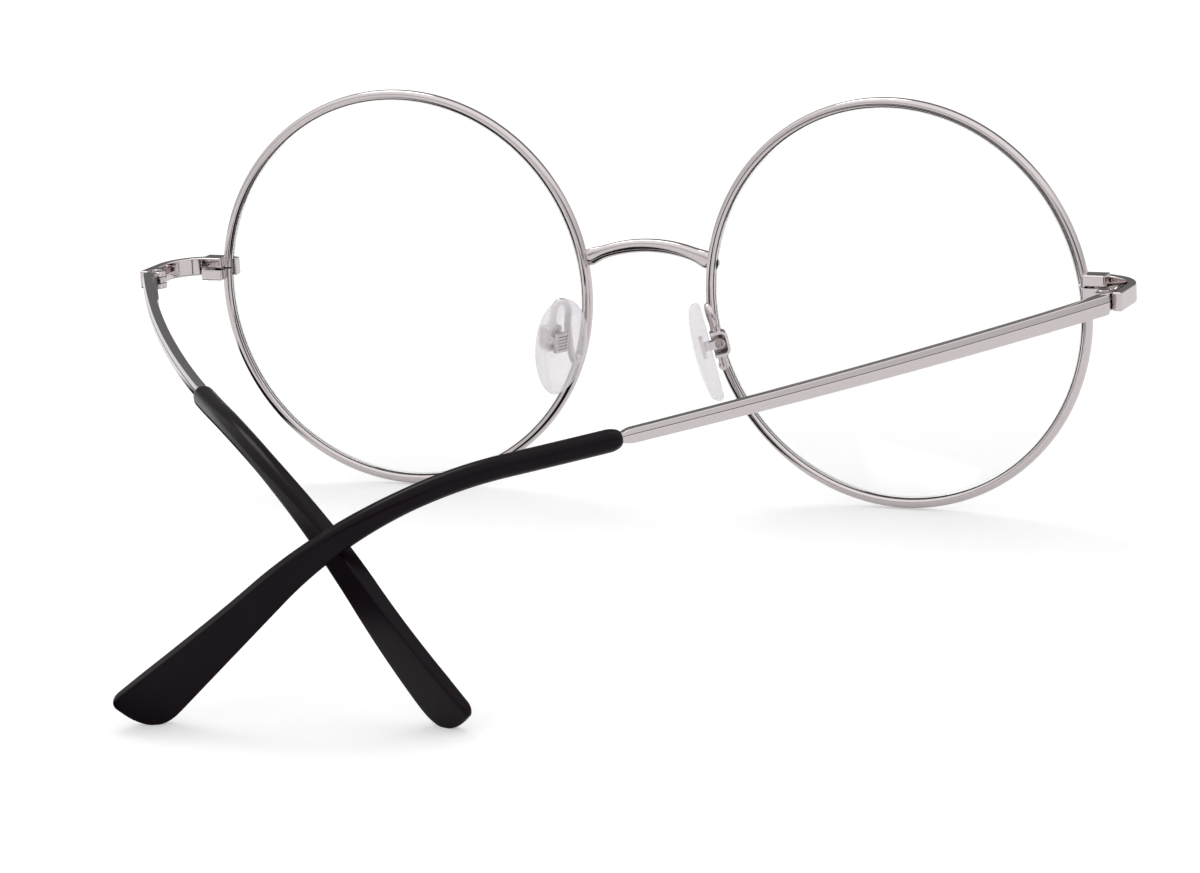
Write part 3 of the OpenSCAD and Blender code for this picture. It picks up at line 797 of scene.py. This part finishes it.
@dataclass
class ClosingBlocks:
    """Two blocks on the ends of the split rim, and the screw that draws them together."""

    side: Side
    inside: float = 64.21
    length: float = 3.2
    front: float = 0.6
    back: float = 3.4
    height: float = 3.2
    split: float = 0.24
    screw: Pair = (66.1132, 2.3991)
    shank_r: float = 0.5
    head_r: float = 0.85
    head_h: float = 0.4

    def build(self) -> None:
        """Makes both blocks and the screw."""
        place = self.side.matrix
        middle_z = FITTINGS[self.side].hinge_z
        low, high = middle_z - self.height / 2, middle_z + self.height / 2
        right = self.inside + self.length
        upper = block((self.inside, self.front, middle_z + self.split / 2), (right, self.back, high))
        make_piece("upper_block", ["lock_upper"], upper, place, PLATE, side=self.side, edge=0.22)
        seat_r = self.head_r + 0.03
        seat = lathe([(0, -1), (seat_r, -1), (seat_r, self.head_h), (0, self.head_h)])
        stock = block((self.inside, self.front, low), (right, self.back, middle_z - self.split / 2))
        lower = fused([stock], [seat.moved(shift(*self.screw, low))])
        make_piece("lower_block", ["lock_lower"], lower, place, PLATE, side=self.side, edge=0.16)
        screw = screw_shell(self.shank_r, self.height * 0.92, self.head_r, self.head_h - 0.02)
        screw = screw.moved(shift(*self.screw, low + 0.01))
        make_piece("closing_screw", ["lock_screw"], screw, place, STEEL, side=self.side, edge=0.05)


@dataclass
class Temple:
    """Hinge, metal bar and black tip of one side."""

    side: Side
    hinge: Pair = (69.9632, 11.2)
    knuckle_r: float = 1.15
    knuckle_h: float = 2.4
    knuckle_mid: float = 0.8
    gap: float = 0.08
    leaf_t: float = 0.6
    rear_leaf_t: float = 0.8
    front_leaf: float = 3.4
    rear_leaf: float = 18.0
    leaf_ramp: float = 1.2
    leg_face: float = 1.29
    pin_r: float = 0.45
    pin_head_r: float = 0.85
    pin_head_h: float = 0.35
    bar_u: float = 1.2
    bar_in: float = 1.1
    bar_t: float = 1.2
    bar_l: float = 78.6
    bar_h: float = 2.65
    bar_h_end: float = 1.85
    bar_edge: float = 0.16
    swell: float = 0.2
    hinge_swell: float = 0.5
    hinge_swell_l: float = 9.0
    ridge: float = 0.16
    bow: float = 558.0
    length: float = 151.3
    step: float = 0.5
    bend_radius: float = 47.8
    tip_bow: float = 70.0
    tip_h: float = 2.8
    tip_h_end: float = 7.5
    tip_t: float = 2.7
    tip_t_end: float = 1.6
    tip_twist: float = 26.0
    flare_start: float = 108.0
    nose: float = 1.68
    tail: float = 5.4

    @property
    def fitting(self) -> Fitting:
        """Sizes of this side."""
        return FITTINGS[self.side]

    @property
    def hinge_place(self) -> Matrix:
        """From the hinge's frame, Z along its screw, to the standing pair."""
        return self.side.matrix @ shift(*self.hinge, self.fitting.hinge_z) @ turn("X", -self.fitting.pitch)

    @property
    def place(self) -> Matrix:
        """From the temple's frame, with Y along the open bar, to the standing pair."""
        return self.hinge_place @ turn("Z", self.fitting.fold)

    def axes(self, s: float) -> tuple[np.ndarray, np.ndarray, np.ndarray]:
        """Directions of the temple's curve.

        Args:
            s: Length along the curve.

        Returns:
            The directions along, outwards and upwards.
        """
        past = max(0.0, s - self.fitting.bend_start)
        h = (s - past) / self.bow + past / self.tip_bow
        d = min(radians(self.fitting.bend_angle), past / self.bend_radius)
        along = np.array([-cos(d) * sin(h), cos(d) * cos(h), -sin(d)])
        return along, np.array([cos(h), sin(h), 0.0]), np.array([-sin(d) * sin(h), sin(d) * cos(h), cos(d)])

    def curve(self) -> np.ndarray:
        """Points of the temple's curve at equal steps of length."""
        points = [np.array([self.bar_in + self.bar_t / 2, self.bar_u, 0.0])]
        for i in range(int(self.length / self.step) + 6):
            points.append(points[-1] + self.step * self.axes((i + 0.5) * self.step)[0])
        return np.array(points)

    def point(self, path: np.ndarray, s: float) -> np.ndarray:
        """Finds a point of the temple's curve.

        Args:
            path: Points of the curve at equal steps.
            s: Length along the curve.

        Returns:
            The point.
        """
        index = int(s / self.step)
        return path[index] + (s - self.step * index) * self.axes(s)[0]

    def bar_shell(self) -> Shell:
        """Skin of the bar, with a ridge along its outer face and a shoulder before the tip."""
        path = self.curve()
        half, r = self.bar_t / 2, self.bar_edge
        flat = half - self.ridge
        stations = [0.0, 0.12, 0.3, *np.linspace(1, self.bar_l - 1.6, 72)]
        stations += [self.bar_l + past for past in (-1.2, -0.7, -0.25, 0.3, 1.5)]
        rings = []
        for s in stations:
            high = (self.bar_h + (self.bar_h_end - self.bar_h) * min(1.0, s / self.bar_l)) / 2
            taper = 1.0 - 0.3 * min(1.0, max(0.0, (s - self.bar_l + 1.6) / 1.5)) ** 1.5
            taper *= {0.0: 0.86, 0.12: 0.95}.get(s, 1.0)
            # The bar is a little thicker inwards than half its width, more so at the hinge
            inner = -half - self.swell - self.hinge_swell * max(0.0, 1 - s / self.hinge_swell_l) ** 2
            line = high * 0.3
            section = self.soft_corner(inner + r, r - high, r, 180, 270)
            section += self.soft_corner(flat - r, r - high, r, 270, 355)
            section += [(half, line - 0.09), (half - 0.09, line), (half, line + 0.09)]
            section += self.soft_corner(flat - r, high - r, r, 5, 90)
            section += self.soft_corner(inner + r, high - r, r, 90, 180)
            at, outward = self.point(path, s), self.axes(s)[1]
            rings.append([at + taper * (x * outward + z * np.array([0, 0, 1.0])) for x, z in section])
        return sweep(rings)

    @staticmethod
    def soft_corner(x: float, z: float, radius: float, first: float, last: float) -> list[Pair]:
        """Points of a rounded edge about (x, z), from one angle to another."""
        turns = [radians(a) for a in np.linspace(first, last, 5)]
        return [(x + radius * cos(a), z + radius * sin(a)) for a in turns]

    def tip_shell(self) -> Shell:
        """Skin of the tip: flat faces, soft edges, flared, twisted and rounded at its end."""
        path = self.curve()
        start = self.bar_l + 0.24
        end = self.length - self.tail
        stations = np.concatenate([
            start + self.nose * (1 - np.cos(np.linspace(0, pi / 2, 9))),
            np.linspace(start + self.nose, end, 110)[1:],
            end + self.tail * np.sin(np.linspace(0, pi / 2, 26))[1:],
        ])
        rings = []
        for s in stations:
            flare = min(1.0, max(0.0, (s - self.flare_start) / (self.length - self.flare_start)))
            grown = flare**1.75
            nose = 0.6 + 0.4 * arch(1 - min(1.0, (s - start) / self.nose))
            tail = max(0.0, (s - end) / self.tail)
            half = (self.tip_h + (self.tip_h_end - self.tip_h) * grown) / 2 * nose
            top = half * (0.72 + 0.28 * arch((tail - 0.72) / 0.28))
            low = half * (-0.35 + 1.35 * sqrt(max(0.0, 1 - tail**3)))
            wide = (self.tip_t + (self.tip_t_end - self.tip_t) * flare) / 2 * nose
            wide *= 0.4 + 0.6 * arch((tail - 0.7) / 0.3)
            section = self.tip_section(wide, (top + low) / 2, self.edge_radius(flare, nose, tail))
            section[:, 1] += (top - low) / 2
            t = radians(self.tip_twist * grown)
            _, outward, upward = self.axes(s)
            side = cos(t) * outward - sin(t) * upward
            rise = sin(t) * outward + cos(t) * upward
            rings.append(self.point(path, s) + np.outer(section[:, 0], side) + np.outer(section[:, 1], rise))
        return sweep(rings)

    @staticmethod
    def edge_radius(flare: float, nose: float, tail: float) -> float:
        """Radius of the tip's long edges, largest at its two rounded ends."""
        return 1.15 - 0.9 * min(1.0, 2.2 * flare) + 0.3 * max(tail, 2.5 * (1 - nose))

    @staticmethod
    def tip_section(wide: float, high: float, radius: float) -> np.ndarray:
        """Outline of the tip across its length.

        Args:
            wide: Half of its thickness.
            high: Half of its height.
            radius: Radius of its edges.

        Returns:
            Corners of the outline, with closer ones beside the edges so that the faces shade flat.
        """
        radius = min(radius, 0.96 * wide, 0.96 * high)
        points = []
        for quarter, (x, y) in enumerate(QUADRANTS):
            cx, cy = x * (wide - radius), y * (high - radius)
            arc = [(quarter + k / 6) * pi / 2 for k in range(7)]
            corner = [(cx + radius * cos(a), cy + radius * sin(a)) for a in arc]
            before, after = (0.8 * cx, corner[0][1]), (corner[-1][0], 0.8 * cy)
            if quarter % 2 == 0:
                before, after = (corner[0][0], 0.8 * cy), (0.8 * cx, corner[-1][1])
            points += [before, *corner, after]
        # The broad faces are a little crowned by the tumbling
        outline = np.array(points)
        outline[:, 0] *= 1 - 0.07 * (outline[:, 1] / high) ** 2
        return outline

    def knuckle(self, low: float, high: float) -> Shell:
        """Knuckle about the hinge's screw between two heights."""
        c = 0.08
        r = self.knuckle_r
        return lathe([(0, low), (r - c, low), (r, low + c), (r, high - c), (r - c, high), (0, high)], 56)

    def front_leaf_shell(self) -> Shell:
        """Skin of the hinge half on the end piece: its plate and two knuckles."""
        top = self.knuckle_h / 2
        inner = self.knuckle_mid / 2 + self.gap
        face, near = self.leg_face, -self.knuckle_r - self.gap
        plate_low = (face - self.leaf_t, -self.front_leaf - self.knuckle_r, 0.15 - top)
        parts = [block(plate_low, (face, near, top - 0.15))]
        for sign in (1, -1):
            low, high = sorted((sign * inner, sign * top))
            parts.append(self.knuckle(low, high))
            parts.append(block((face - self.leaf_t - 0.4, near - 0.3, low + 0.02), (face, 0, high - 0.02)))
        return fused(parts)

    def rear_leaf_shell(self) -> Shell:
        """Skin of the hinge half on the bar: the middle knuckle and a plate that ramps down."""
        start = self.knuckle_r + 0.25
        half = self.knuckle_mid / 2

        def face(u: float) -> Pair:
            """Point on the inner face of the bowed bar."""
            return self.bar_in - 0.01 - (u - self.bar_u) ** 2 / (2 * self.bow - self.bar_t), u

        end = start + self.rear_leaf + self.leaf_ramp
        outline = [face(u) for u in np.linspace(start, end, 13)]
        outline += [(face(end)[0] - 0.25, end), (self.bar_in - self.rear_leaf_t, start + self.rear_leaf)]
        outline += [(self.bar_in - self.rear_leaf_t, start)]
        plate = prism(outline, 0.2 - self.knuckle_h / 2, self.knuckle_h / 2 - 0.2)
        neck = block((-0.2, 0, -half), (self.bar_in - self.leaf_t / 2, start + 0.4, half))
        return fused([self.knuckle(-half, half), neck, plate])

    def build(self) -> None:
        """Makes the hinge, the bar and the tip."""
        side, body = self.side, f"temple_{self.side.word}"
        hinge, place = self.hinge_place, self.place
        pin = screw_shell(self.pin_r, self.knuckle_h + self.pin_head_h, self.pin_head_r, self.pin_head_h)
        pin = pin.moved(shift(0, 0, self.knuckle_h / 2 + self.pin_head_h + 0.01) @ turn("X", 180))
        front, rear = self.front_leaf_shell(), self.rear_leaf_shell()
        make_piece("front_leaf", ["hinge_leaf"], front, hinge, PLATE, side=side, edge=0.07)
        make_piece("hinge_screw", ["hinge_screw"], pin, hinge, STEEL, side=side, edge=0.04)
        make_piece("rear_leaf", ["temple_leaf"], rear, place, PLATE, side=side, body=body, edge=0.07)
        make_piece("bar", ["temple_bar"], self.bar_shell(), place, PLATE, side=side, body=body, sharp=21)
        make_piece("tip", ["temple_tip"], self.tip_shell(), place, ACETATE, side=side, body=body, sharp=60)


@dataclass
class PadUnit:
    """Arm, box, pin, core and silicone pad of one side."""

    side: Side
    pad_x: float = 10.7
    pad_y: float = 5.5
    drop: float = 6.5
    splay: float = 25.0
    lean: float = 12.0
    length: float = 14.0
    width: float = 8.1
    thickness: float = 2.2
    cushion: float = 0.35
    crown: float = 22.0
    egg: float = 0.14
    box_near: float = 1.35
    box_l: float = 2.3
    box_h: float = 3.5
    box_depth: float = 2.2
    box_rise: float = 0.8
    box_corners: Pair = (0.95, 0.55)
    wall: float = 0.4
    pivot: float = 2.35
    pivot_r: float = 0.35
    barrel_r: float = 0.8
    arm_r: float = 0.5
    root: Triple = (10.9417, -0.2268, -9.4)
    # Points of the arm in the pad's frame
    route: tuple[Triple, ...] = (
        (2.25, -3, 1.6), (2, -2.6, 4.2), (2, -1.9, 5.6),
        (2.1, -0.8, 5.8), (2.3, -0.2, 4.8), (2.35, -0.1, 2.45),
    )

    @property
    def pad_matrix(self) -> Matrix:
        """From the pad's frame to the front: X away from the nose, Y backwards, Z along the pad."""
        return shift(self.pad_x, self.pad_y, -self.drop) @ turn("Z", -self.splay) @ turn("Y", -self.lean)

    @property
    def place(self) -> Matrix:
        """From the pad's frame to the standing pair."""
        return self.side.matrix @ self.pad_matrix

    def arm_shell(self) -> Shell:
        """Skin of the wire from the back of the rim, up, over and down into the box."""
        root = Vector(self.root)
        points = [root - Vector((0, 0.3, 0)), root + Vector((0.5, 0.6, 0.4))]
        points += [self.pad_matrix @ Vector(point) for point in self.route]
        line = smooth_line([tuple(point) for point in points], 12)
        reach = np.concatenate([[0], np.cumsum(np.linalg.norm(np.diff(line, axis=0), axis=1))])
        # Solder thickens the wire where it leaves the rim, and again where it enters the box
        swell = 1 + 0.55 * np.exp(-(reach / 0.7) ** 2) + 0.25 * np.exp(-((reach[-1] - reach) / 0.5) ** 2)
        return tube(line, self.arm_r * swell, (1, -1, 0))

    def box_outline(self, inset: float, radius: float, open_x: float) -> list[Pair]:
        """Outline of the box from behind, open towards the pad.

        Args:
            inset: Distance inside its outer faces.
            radius: Radius of its two corners.
            open_x: Where the open side ends.

        Returns:
            Corners of the outline.
        """
        x, z = self.box_near + self.box_l - inset, self.box_h / 2 - inset
        turns = np.linspace(0, pi / 2, 9)
        corner = [(x - radius + radius * sin(a), z - radius + radius * cos(a)) for a in turns]
        return [(open_x, z), *corner, *[(cx, -cz) for cx, cz in reversed(corner)], (open_x, -z)]

    def box_shell(self) -> Shell:
        """Skin of the box, open towards the pad and the back, with round outer corners."""
        upright = shift(0, 0, self.box_rise) @ turn("X", 90)
        half = self.box_depth / 2
        outer = prism(self.box_outline(0, self.box_corners[0], self.box_near), -half, half)
        inner = prism(self.box_outline(self.wall, self.box_corners[1], 0), -2 * half, half - self.wall)
        return fused([outer.moved(upright)], [inner.moved(upright)])

    def pin_shell(self) -> Shell:
        """Skin of the pivot pin, with a dished head behind the barrel."""
        foot, head = -self.box_depth / 2 + 0.02, self.box_depth / 2 - 0.4 + 0.08
        profile = [(0, foot), (self.pivot_r, foot), (self.pivot_r, head), (0.56, head), (0.6, head + 0.05)]
        profile += [(0.6, head + 0.24), (0.52, head + 0.3), (0.42, head + 0.3), (0.3, head + 0.2)]
        profile += [(0, head + 0.16)]
        return lathe(profile, 40).moved(shift(self.pivot, 0, self.box_rise) @ turn("X", -90))

    def core_shell(self) -> Shell:
        """Skin of the metal core: the plate in the pad, the neck and the barrel on the pin."""
        front, back = -self.box_depth / 2 + self.wall + 0.08, self.box_depth / 2 - 0.4
        r, c, bore, rise = self.barrel_r, 0.08, self.pivot_r + 0.03, self.box_rise
        ring = [(bore, front), (r - c, front), (r, front + c), (r, back - c), (r - c, back), (bore, back)]
        rings = [np.array([(p * cos(a), p * sin(a), z) for p, z in ring]) for a in round_steps(48)]
        barrel = sweep(rings, closed=True).moved(shift(self.pivot, 0, rise) @ turn("X", -90))
        plate = block((-0.25, -1.1, rise - 1.4), (0.25, 1.1, rise + 1.4))
        neck = block((0, front, rise - 0.55), (self.pivot - self.pivot_r - 0.15, back, rise + 0.55))
        grooves = [
            block((-0.4, -0.8, rise + z - 0.12), (-0.17, 0.8, rise + z + 0.12))
            for z in (-0.9, -0.45, 0.0, 0.45, 0.9)
        ]
        return fused([barrel, neck, plate], grooves)

    def face_x(self, y: np.ndarray, z: np.ndarray) -> np.ndarray:
        """Place of the pad's crowned face along X."""
        return self.crown - self.thickness / 2 - self.cushion - np.sqrt(self.crown**2 - y**2 - z**2)

    def pad_shell(self) -> Shell:
        """Skin of the pad: an egg-shaped outline with a crowned face and a round edge."""
        angles = round_steps(96)
        y = self.width / 2 * np.sin(angles) * (1 + self.egg * np.cos(angles))
        z = self.length / 2 * np.cos(angles)
        half = self.thickness / 2
        rings = [np.column_stack([self.face_x(y * k, z * k), y * k, z * k]) for k in np.linspace(0, 0.93, 12)]
        edge = self.face_x(y, z)
        # The edge is turned over as a half round between the crowned face and the back
        for a in np.linspace(0, pi, 9)[1:-1]:
            k = 0.93 + 0.07 * sin(a)
            mix = (1 - cos(a)) / 2
            rings.append(np.column_stack([edge + 0.05 + (half - edge - 0.1) * mix, y * k, z * k]))
        for k in np.linspace(0.93, 0, 10):
            rings.append(np.column_stack([np.full(len(angles), half), y * k, z * k]))
        return sweep(rings)

    def mark_back(self, pad: Object) -> None:
        """Marks the edge and the flat back of the pad, where the rubber hides more.

        Args:
            pad: The pad, in metres.
        """
        home = self.place.inverted()
        marks = []
        for vertex in pad.data.vertices:
            x, y, z = home @ (vertex.co / MM)
            back = 1 + (x - self.thickness / 2) / 0.4
            edge = (sqrt((2 * y / self.width) ** 2 + (2 * z / self.length) ** 2) - 0.7) / 0.2
            marks.append(min(1.0, max(0.0, back, edge)))
        pad.data.attributes.new(SILICONE.back_mark, "FLOAT", "POINT").data.foreach_set("value", marks)

    def build(self) -> None:
        """Makes the five pieces."""
        side, place, body = self.side, self.place, f"pad_{self.side.word}"
        make_piece("pad_wire", ["pad_arm"], self.arm_shell(), side.matrix, PLATE, side=side, sharp=60)
        make_piece("pad_socket", ["pad_box"], self.box_shell(), place, PLATE, side=side, edge=0.1)
        make_piece("pad_pivot", ["pad_pin"], self.pin_shell(), place, STEEL, side=side, sharp=40)
        make_piece("pad_insert", ["pad_core"], self.core_shell(), place, PLATE, side=side, body=body)
        shell = self.pad_shell()
        pad = make_piece("silicone_pad", ["nose_pad"], shell, place, SILICONE, side=side, body=body, sharp=70)
        self.mark_back(pad)


@dataclass
class Studio:
    """Floor, light and camera. Places are in metres, apart from the camera's."""

    floor_size: float = 6.0
    paper: tuple[str, str] = ("#e4e4e4", "#ececec")
    # Light of the paper itself, as it is seen and as metal mirrors it
    glow: Pair = (0.33, 0.04)
    # Painted reflections: dark patches on the paper that only mirrored rays see, X from and to, Y from and to
    mirrored_dark_patches: tuple[tuple[float, float, float, float], ...] = (
        (0.07, 0.108, -0.045, 0.06), (-0.006, 0.034, 0.014, 0.07), (0.02, 0.07, 0.105, 0.19),
    )
    # Colour of the painted reflections, and the width of their fade
    mirrored_dark_colour: str = "#1c181a"
    mirrored_dark_fade: float = 0.008
    # Dark parts of the room: direction, size and softness in degrees, depth
    dark_cards: tuple[tuple[Triple, float, float, float], ...] = (
        ((0.35, -0.92, 0.38), 30, 10, 0.76), ((-0.6, 0.74, 0.12), 13, 8, 0.8),
    )
    room: float = 0.85
    lamp_place: Triple = (0.49, -0.44, 1.0)
    lamp_size: float = 0.55
    lamp_power: float = 2.0
    azimuth: float = 204.54
    elevation: float = 12.78
    roll: float = -3.16
    target: Triple = (8.07, 0.0, -20.22)
    distance: float = 700.1
    lens: float = 150.99

    @staticmethod
    def ray_tests(tree: NodeTree) -> tuple[Node, Node]:
        """Tests how a ray comes to the background.

        Args:
            tree: Node tree that gets the nodes.

        Returns:
            One for a ray from the camera or through a lens, and one for a ray that metal or glass
            has mirrored, whatever lens it passed.
        """
        path = add_node(tree, "LightPath").outputs
        seen = add_node(tree, "Math", {"operation": "MAXIMUM"}, {
            0: path["Is Camera Ray"], 1: path["Is Transmission Ray"],
        })
        mirrored = add_node(tree, "Math", {"operation": "GREATER_THAN"}, {0: path["Glossy Depth"], 1: 0.5})
        return seen, mirrored

    @staticmethod
    def band(tree: NodeTree, value: NodeSocket, low: float, high: float, soft: float) -> Node:
        """One between two values and nothing outside them.

        Args:
            tree: Node tree that gets the nodes.
            value: The value that is looked at.
            low: Where the band begins.
            high: Where it ends.
            soft: Width of the fade at both ends.

        Returns:
            The node with the result.
        """
        rise = add_node(tree, "MapRange", inputs={"Value": value, "From Min": low - soft, "From Max": low})
        fall = add_node(tree, "MapRange", inputs={
            "Value": value, "From Min": high, "From Max": high + soft, "To Min": 1.0, "To Max": 0.0,
        })
        return add_node(tree, "Math", {"operation": "MULTIPLY"}, {0: rise, 1: fall})

    def build_floor(self) -> None:
        """Makes the pale floor under the lowest point of the pair."""
        low, half = CAD_BOX[0][2], self.floor_size / 2
        mesh = bpy.data.meshes.new("floor")
        corners = [(x * half, y * half, low) for x, y in ((-1, -1), (1, -1), (1, 1), (-1, 1))]
        mesh.from_pydata(corners, [], [(0, 1, 2, 3)])
        floor = linked("floor", mesh)
        material, tree = new_tree("matt_white_paper")
        # Metal mirrors the paper a little darker than it is seen, also through a lens
        seen, mirrored = self.ray_tests(tree)
        full = add_node(tree, "MapRange", inputs={
            "Value": mirrored, "To Min": self.glow[0], "To Max": self.glow[1],
        })
        either = add_node(tree, "Math", {"operation": "MAXIMUM"}, {0: seen, 1: mirrored})
        lift = add_node(tree, "Math", {"operation": "MULTIPLY"}, {0: either, 1: full})
        # Fibres in the paper, a few millimetres long
        place = add_node(tree, "NewGeometry").outputs["Position"]
        fibre = add_node(tree, "TexNoise", inputs={"Vector": place, "Scale": 1 / (3 * MM), "Detail": 2.0})
        tone = add_node(tree, "Mix", {"data_type": "RGBA"}, {
            "Factor": fibre, 6: linear(self.paper[0]), 7: linear(self.paper[1]),
        })
        paper = add_node(tree, "BsdfDiffuse", inputs={"Color": tone.outputs[2]})
        glow = add_node(tree, "Emission", inputs={"Strength": lift})
        both = add_node(tree, "AddShader", inputs={0: paper, 1: glow})
        # Painted reflections: polished metal mirrors dark patches on the paper, behind it and left of each
        # rim, which the camera never sees there
        spot = add_node(tree, "SeparateXYZ", inputs={"Vector": place}).outputs
        mirrored_dark = 0.0
        for left, right, near, far in self.mirrored_dark_patches:
            across = self.band(tree, spot["X"], left, right, self.mirrored_dark_fade)
            ahead = self.band(tree, spot["Y"], near, far, self.mirrored_dark_fade)
            one = add_node(tree, "Math", {"operation": "MULTIPLY"}, {0: across, 1: ahead})
            mirrored_dark = add_node(tree, "Math", {"operation": "MAXIMUM"}, {0: one, 1: mirrored_dark})
        # Only rays that metal or glass has mirrored see the painted dark patches; the camera sees plain paper
        flag = add_node(tree, "Math", {"operation": "MULTIPLY"}, {0: mirrored_dark, 1: mirrored})
        black = add_node(tree, "Emission", inputs={"Color": linear(self.mirrored_dark_colour), "Strength": 1.0})
        shown = add_node(tree, "MixShader", inputs={0: flag, 1: both, 2: black})
        add_node(tree, "OutputMaterial", inputs={"Surface": shown})
        mesh.materials.append(material)

    def build_light(self) -> None:
        """Makes the even light of the room and one soft lamp above."""
        world = bpy.data.worlds.new("soft_box")
        bpy.context.scene.world = world
        world.use_nodes = True
        tree = world.node_tree
        tree.nodes.clear()
        way = add_node(tree, "TexCoord").outputs["Generated"]
        # Polished metal mirrors a room that is brighter above than at its walls
        height = add_node(tree, "SeparateXYZ", inputs={"Vector": way}).outputs["Z"]
        shade = add_node(tree, "MapRange", inputs={
            "Value": height, "From Min": 0.0, "From Max": 0.7, "To Min": 0.5, "To Max": 1.0,
        })
        for direction, size, soft, depth in self.dark_cards:
            near = add_node(tree, "VectorMath", {"operation": "DOT_PRODUCT"}, {
                0: way, 1: Vector(direction).normalized(),
            })
            dark = add_node(tree, "MapRange", inputs={
                "Value": near.outputs["Value"], "From Min": cos(radians(size + soft)),
                "From Max": cos(radians(size)), "To Min": 1.0, "To Max": 1.0 - depth,
            })
            shade = add_node(tree, "Math", {"operation": "MULTIPLY"}, {0: shade, 1: dark})
        tone = add_node(tree, "CombineColor", inputs={"Red": shade, "Green": shade, "Blue": shade})
        mirror = add_node(tree, "Background", inputs={"Color": tone, "Strength": 1.0})
        room = add_node(tree, "Background", inputs={"Color": (1, 1, 1, 1), "Strength": self.room})
        white = add_node(tree, "Background", inputs={"Color": (1, 1, 1, 1), "Strength": 1.0})
        seen, mirrored = self.ray_tests(tree)
        plain = add_node(tree, "MixShader", inputs={0: seen, 1: room, 2: white})
        out = add_node(tree, "MixShader", inputs={0: mirrored, 1: plain, 2: mirror})
        add_node(tree, "OutputWorld", inputs={"Surface": out})
        lamp = bpy.data.lights.new("soft_lamp", "AREA")
        lamp.shape = "DISK"
        lamp.size = self.lamp_size
        lamp.energy = self.lamp_power
        holder = linked("soft_lamp", lamp)
        holder.location = self.lamp_place
        holder.rotation_euler = Vector(self.lamp_place).to_track_quat("Z", "Y").to_euler()

    def build_camera(self) -> None:
        """Places the camera at the photograph's viewing angle."""
        az, el, roll = (radians(a) for a in (self.azimuth, self.elevation, self.roll))
        back = Vector((sin(az) * cos(el), -cos(az) * cos(el), sin(el)))
        right = Vector((0, 0, 1)).cross(back).normalized()
        up = back.cross(right)
        right, up = cos(roll) * right + sin(roll) * up, cos(roll) * up - sin(roll) * right
        place = Matrix((right, up, back)).transposed().to_4x4()
        place.translation = (Vector(self.target) + self.distance * back) * MM
        camera = bpy.data.cameras.new("camera")
        camera.lens = self.lens
        camera.sensor_width = 36.0
        camera.clip_start = 0.01
        camera.clip_end = 20.0
        holder = linked("camera", camera)
        holder.matrix_world = turn("X", STAND_LEAN) @ place
        bpy.context.scene.camera = holder

    def build(self) -> None:
        """Makes the studio and sets how colours are shown."""
        self.build_camera()
        self.build_floor()
        self.build_light()
        bpy.context.scene.view_settings.view_transform = "Standard"


def main() -> None:
    """Builds the studio and every piece."""
    logging.basicConfig(level=logging.INFO, format="%(message)s")
    Studio().build()
    Bridge().build()
    for side in Side:
        Rim(side).build()
        EndPiece(side).build()
        ClosingBlocks(side).build()
        Temple(side).build()
        PadUnit(side).build()


if __name__ == "__main__":
    main()
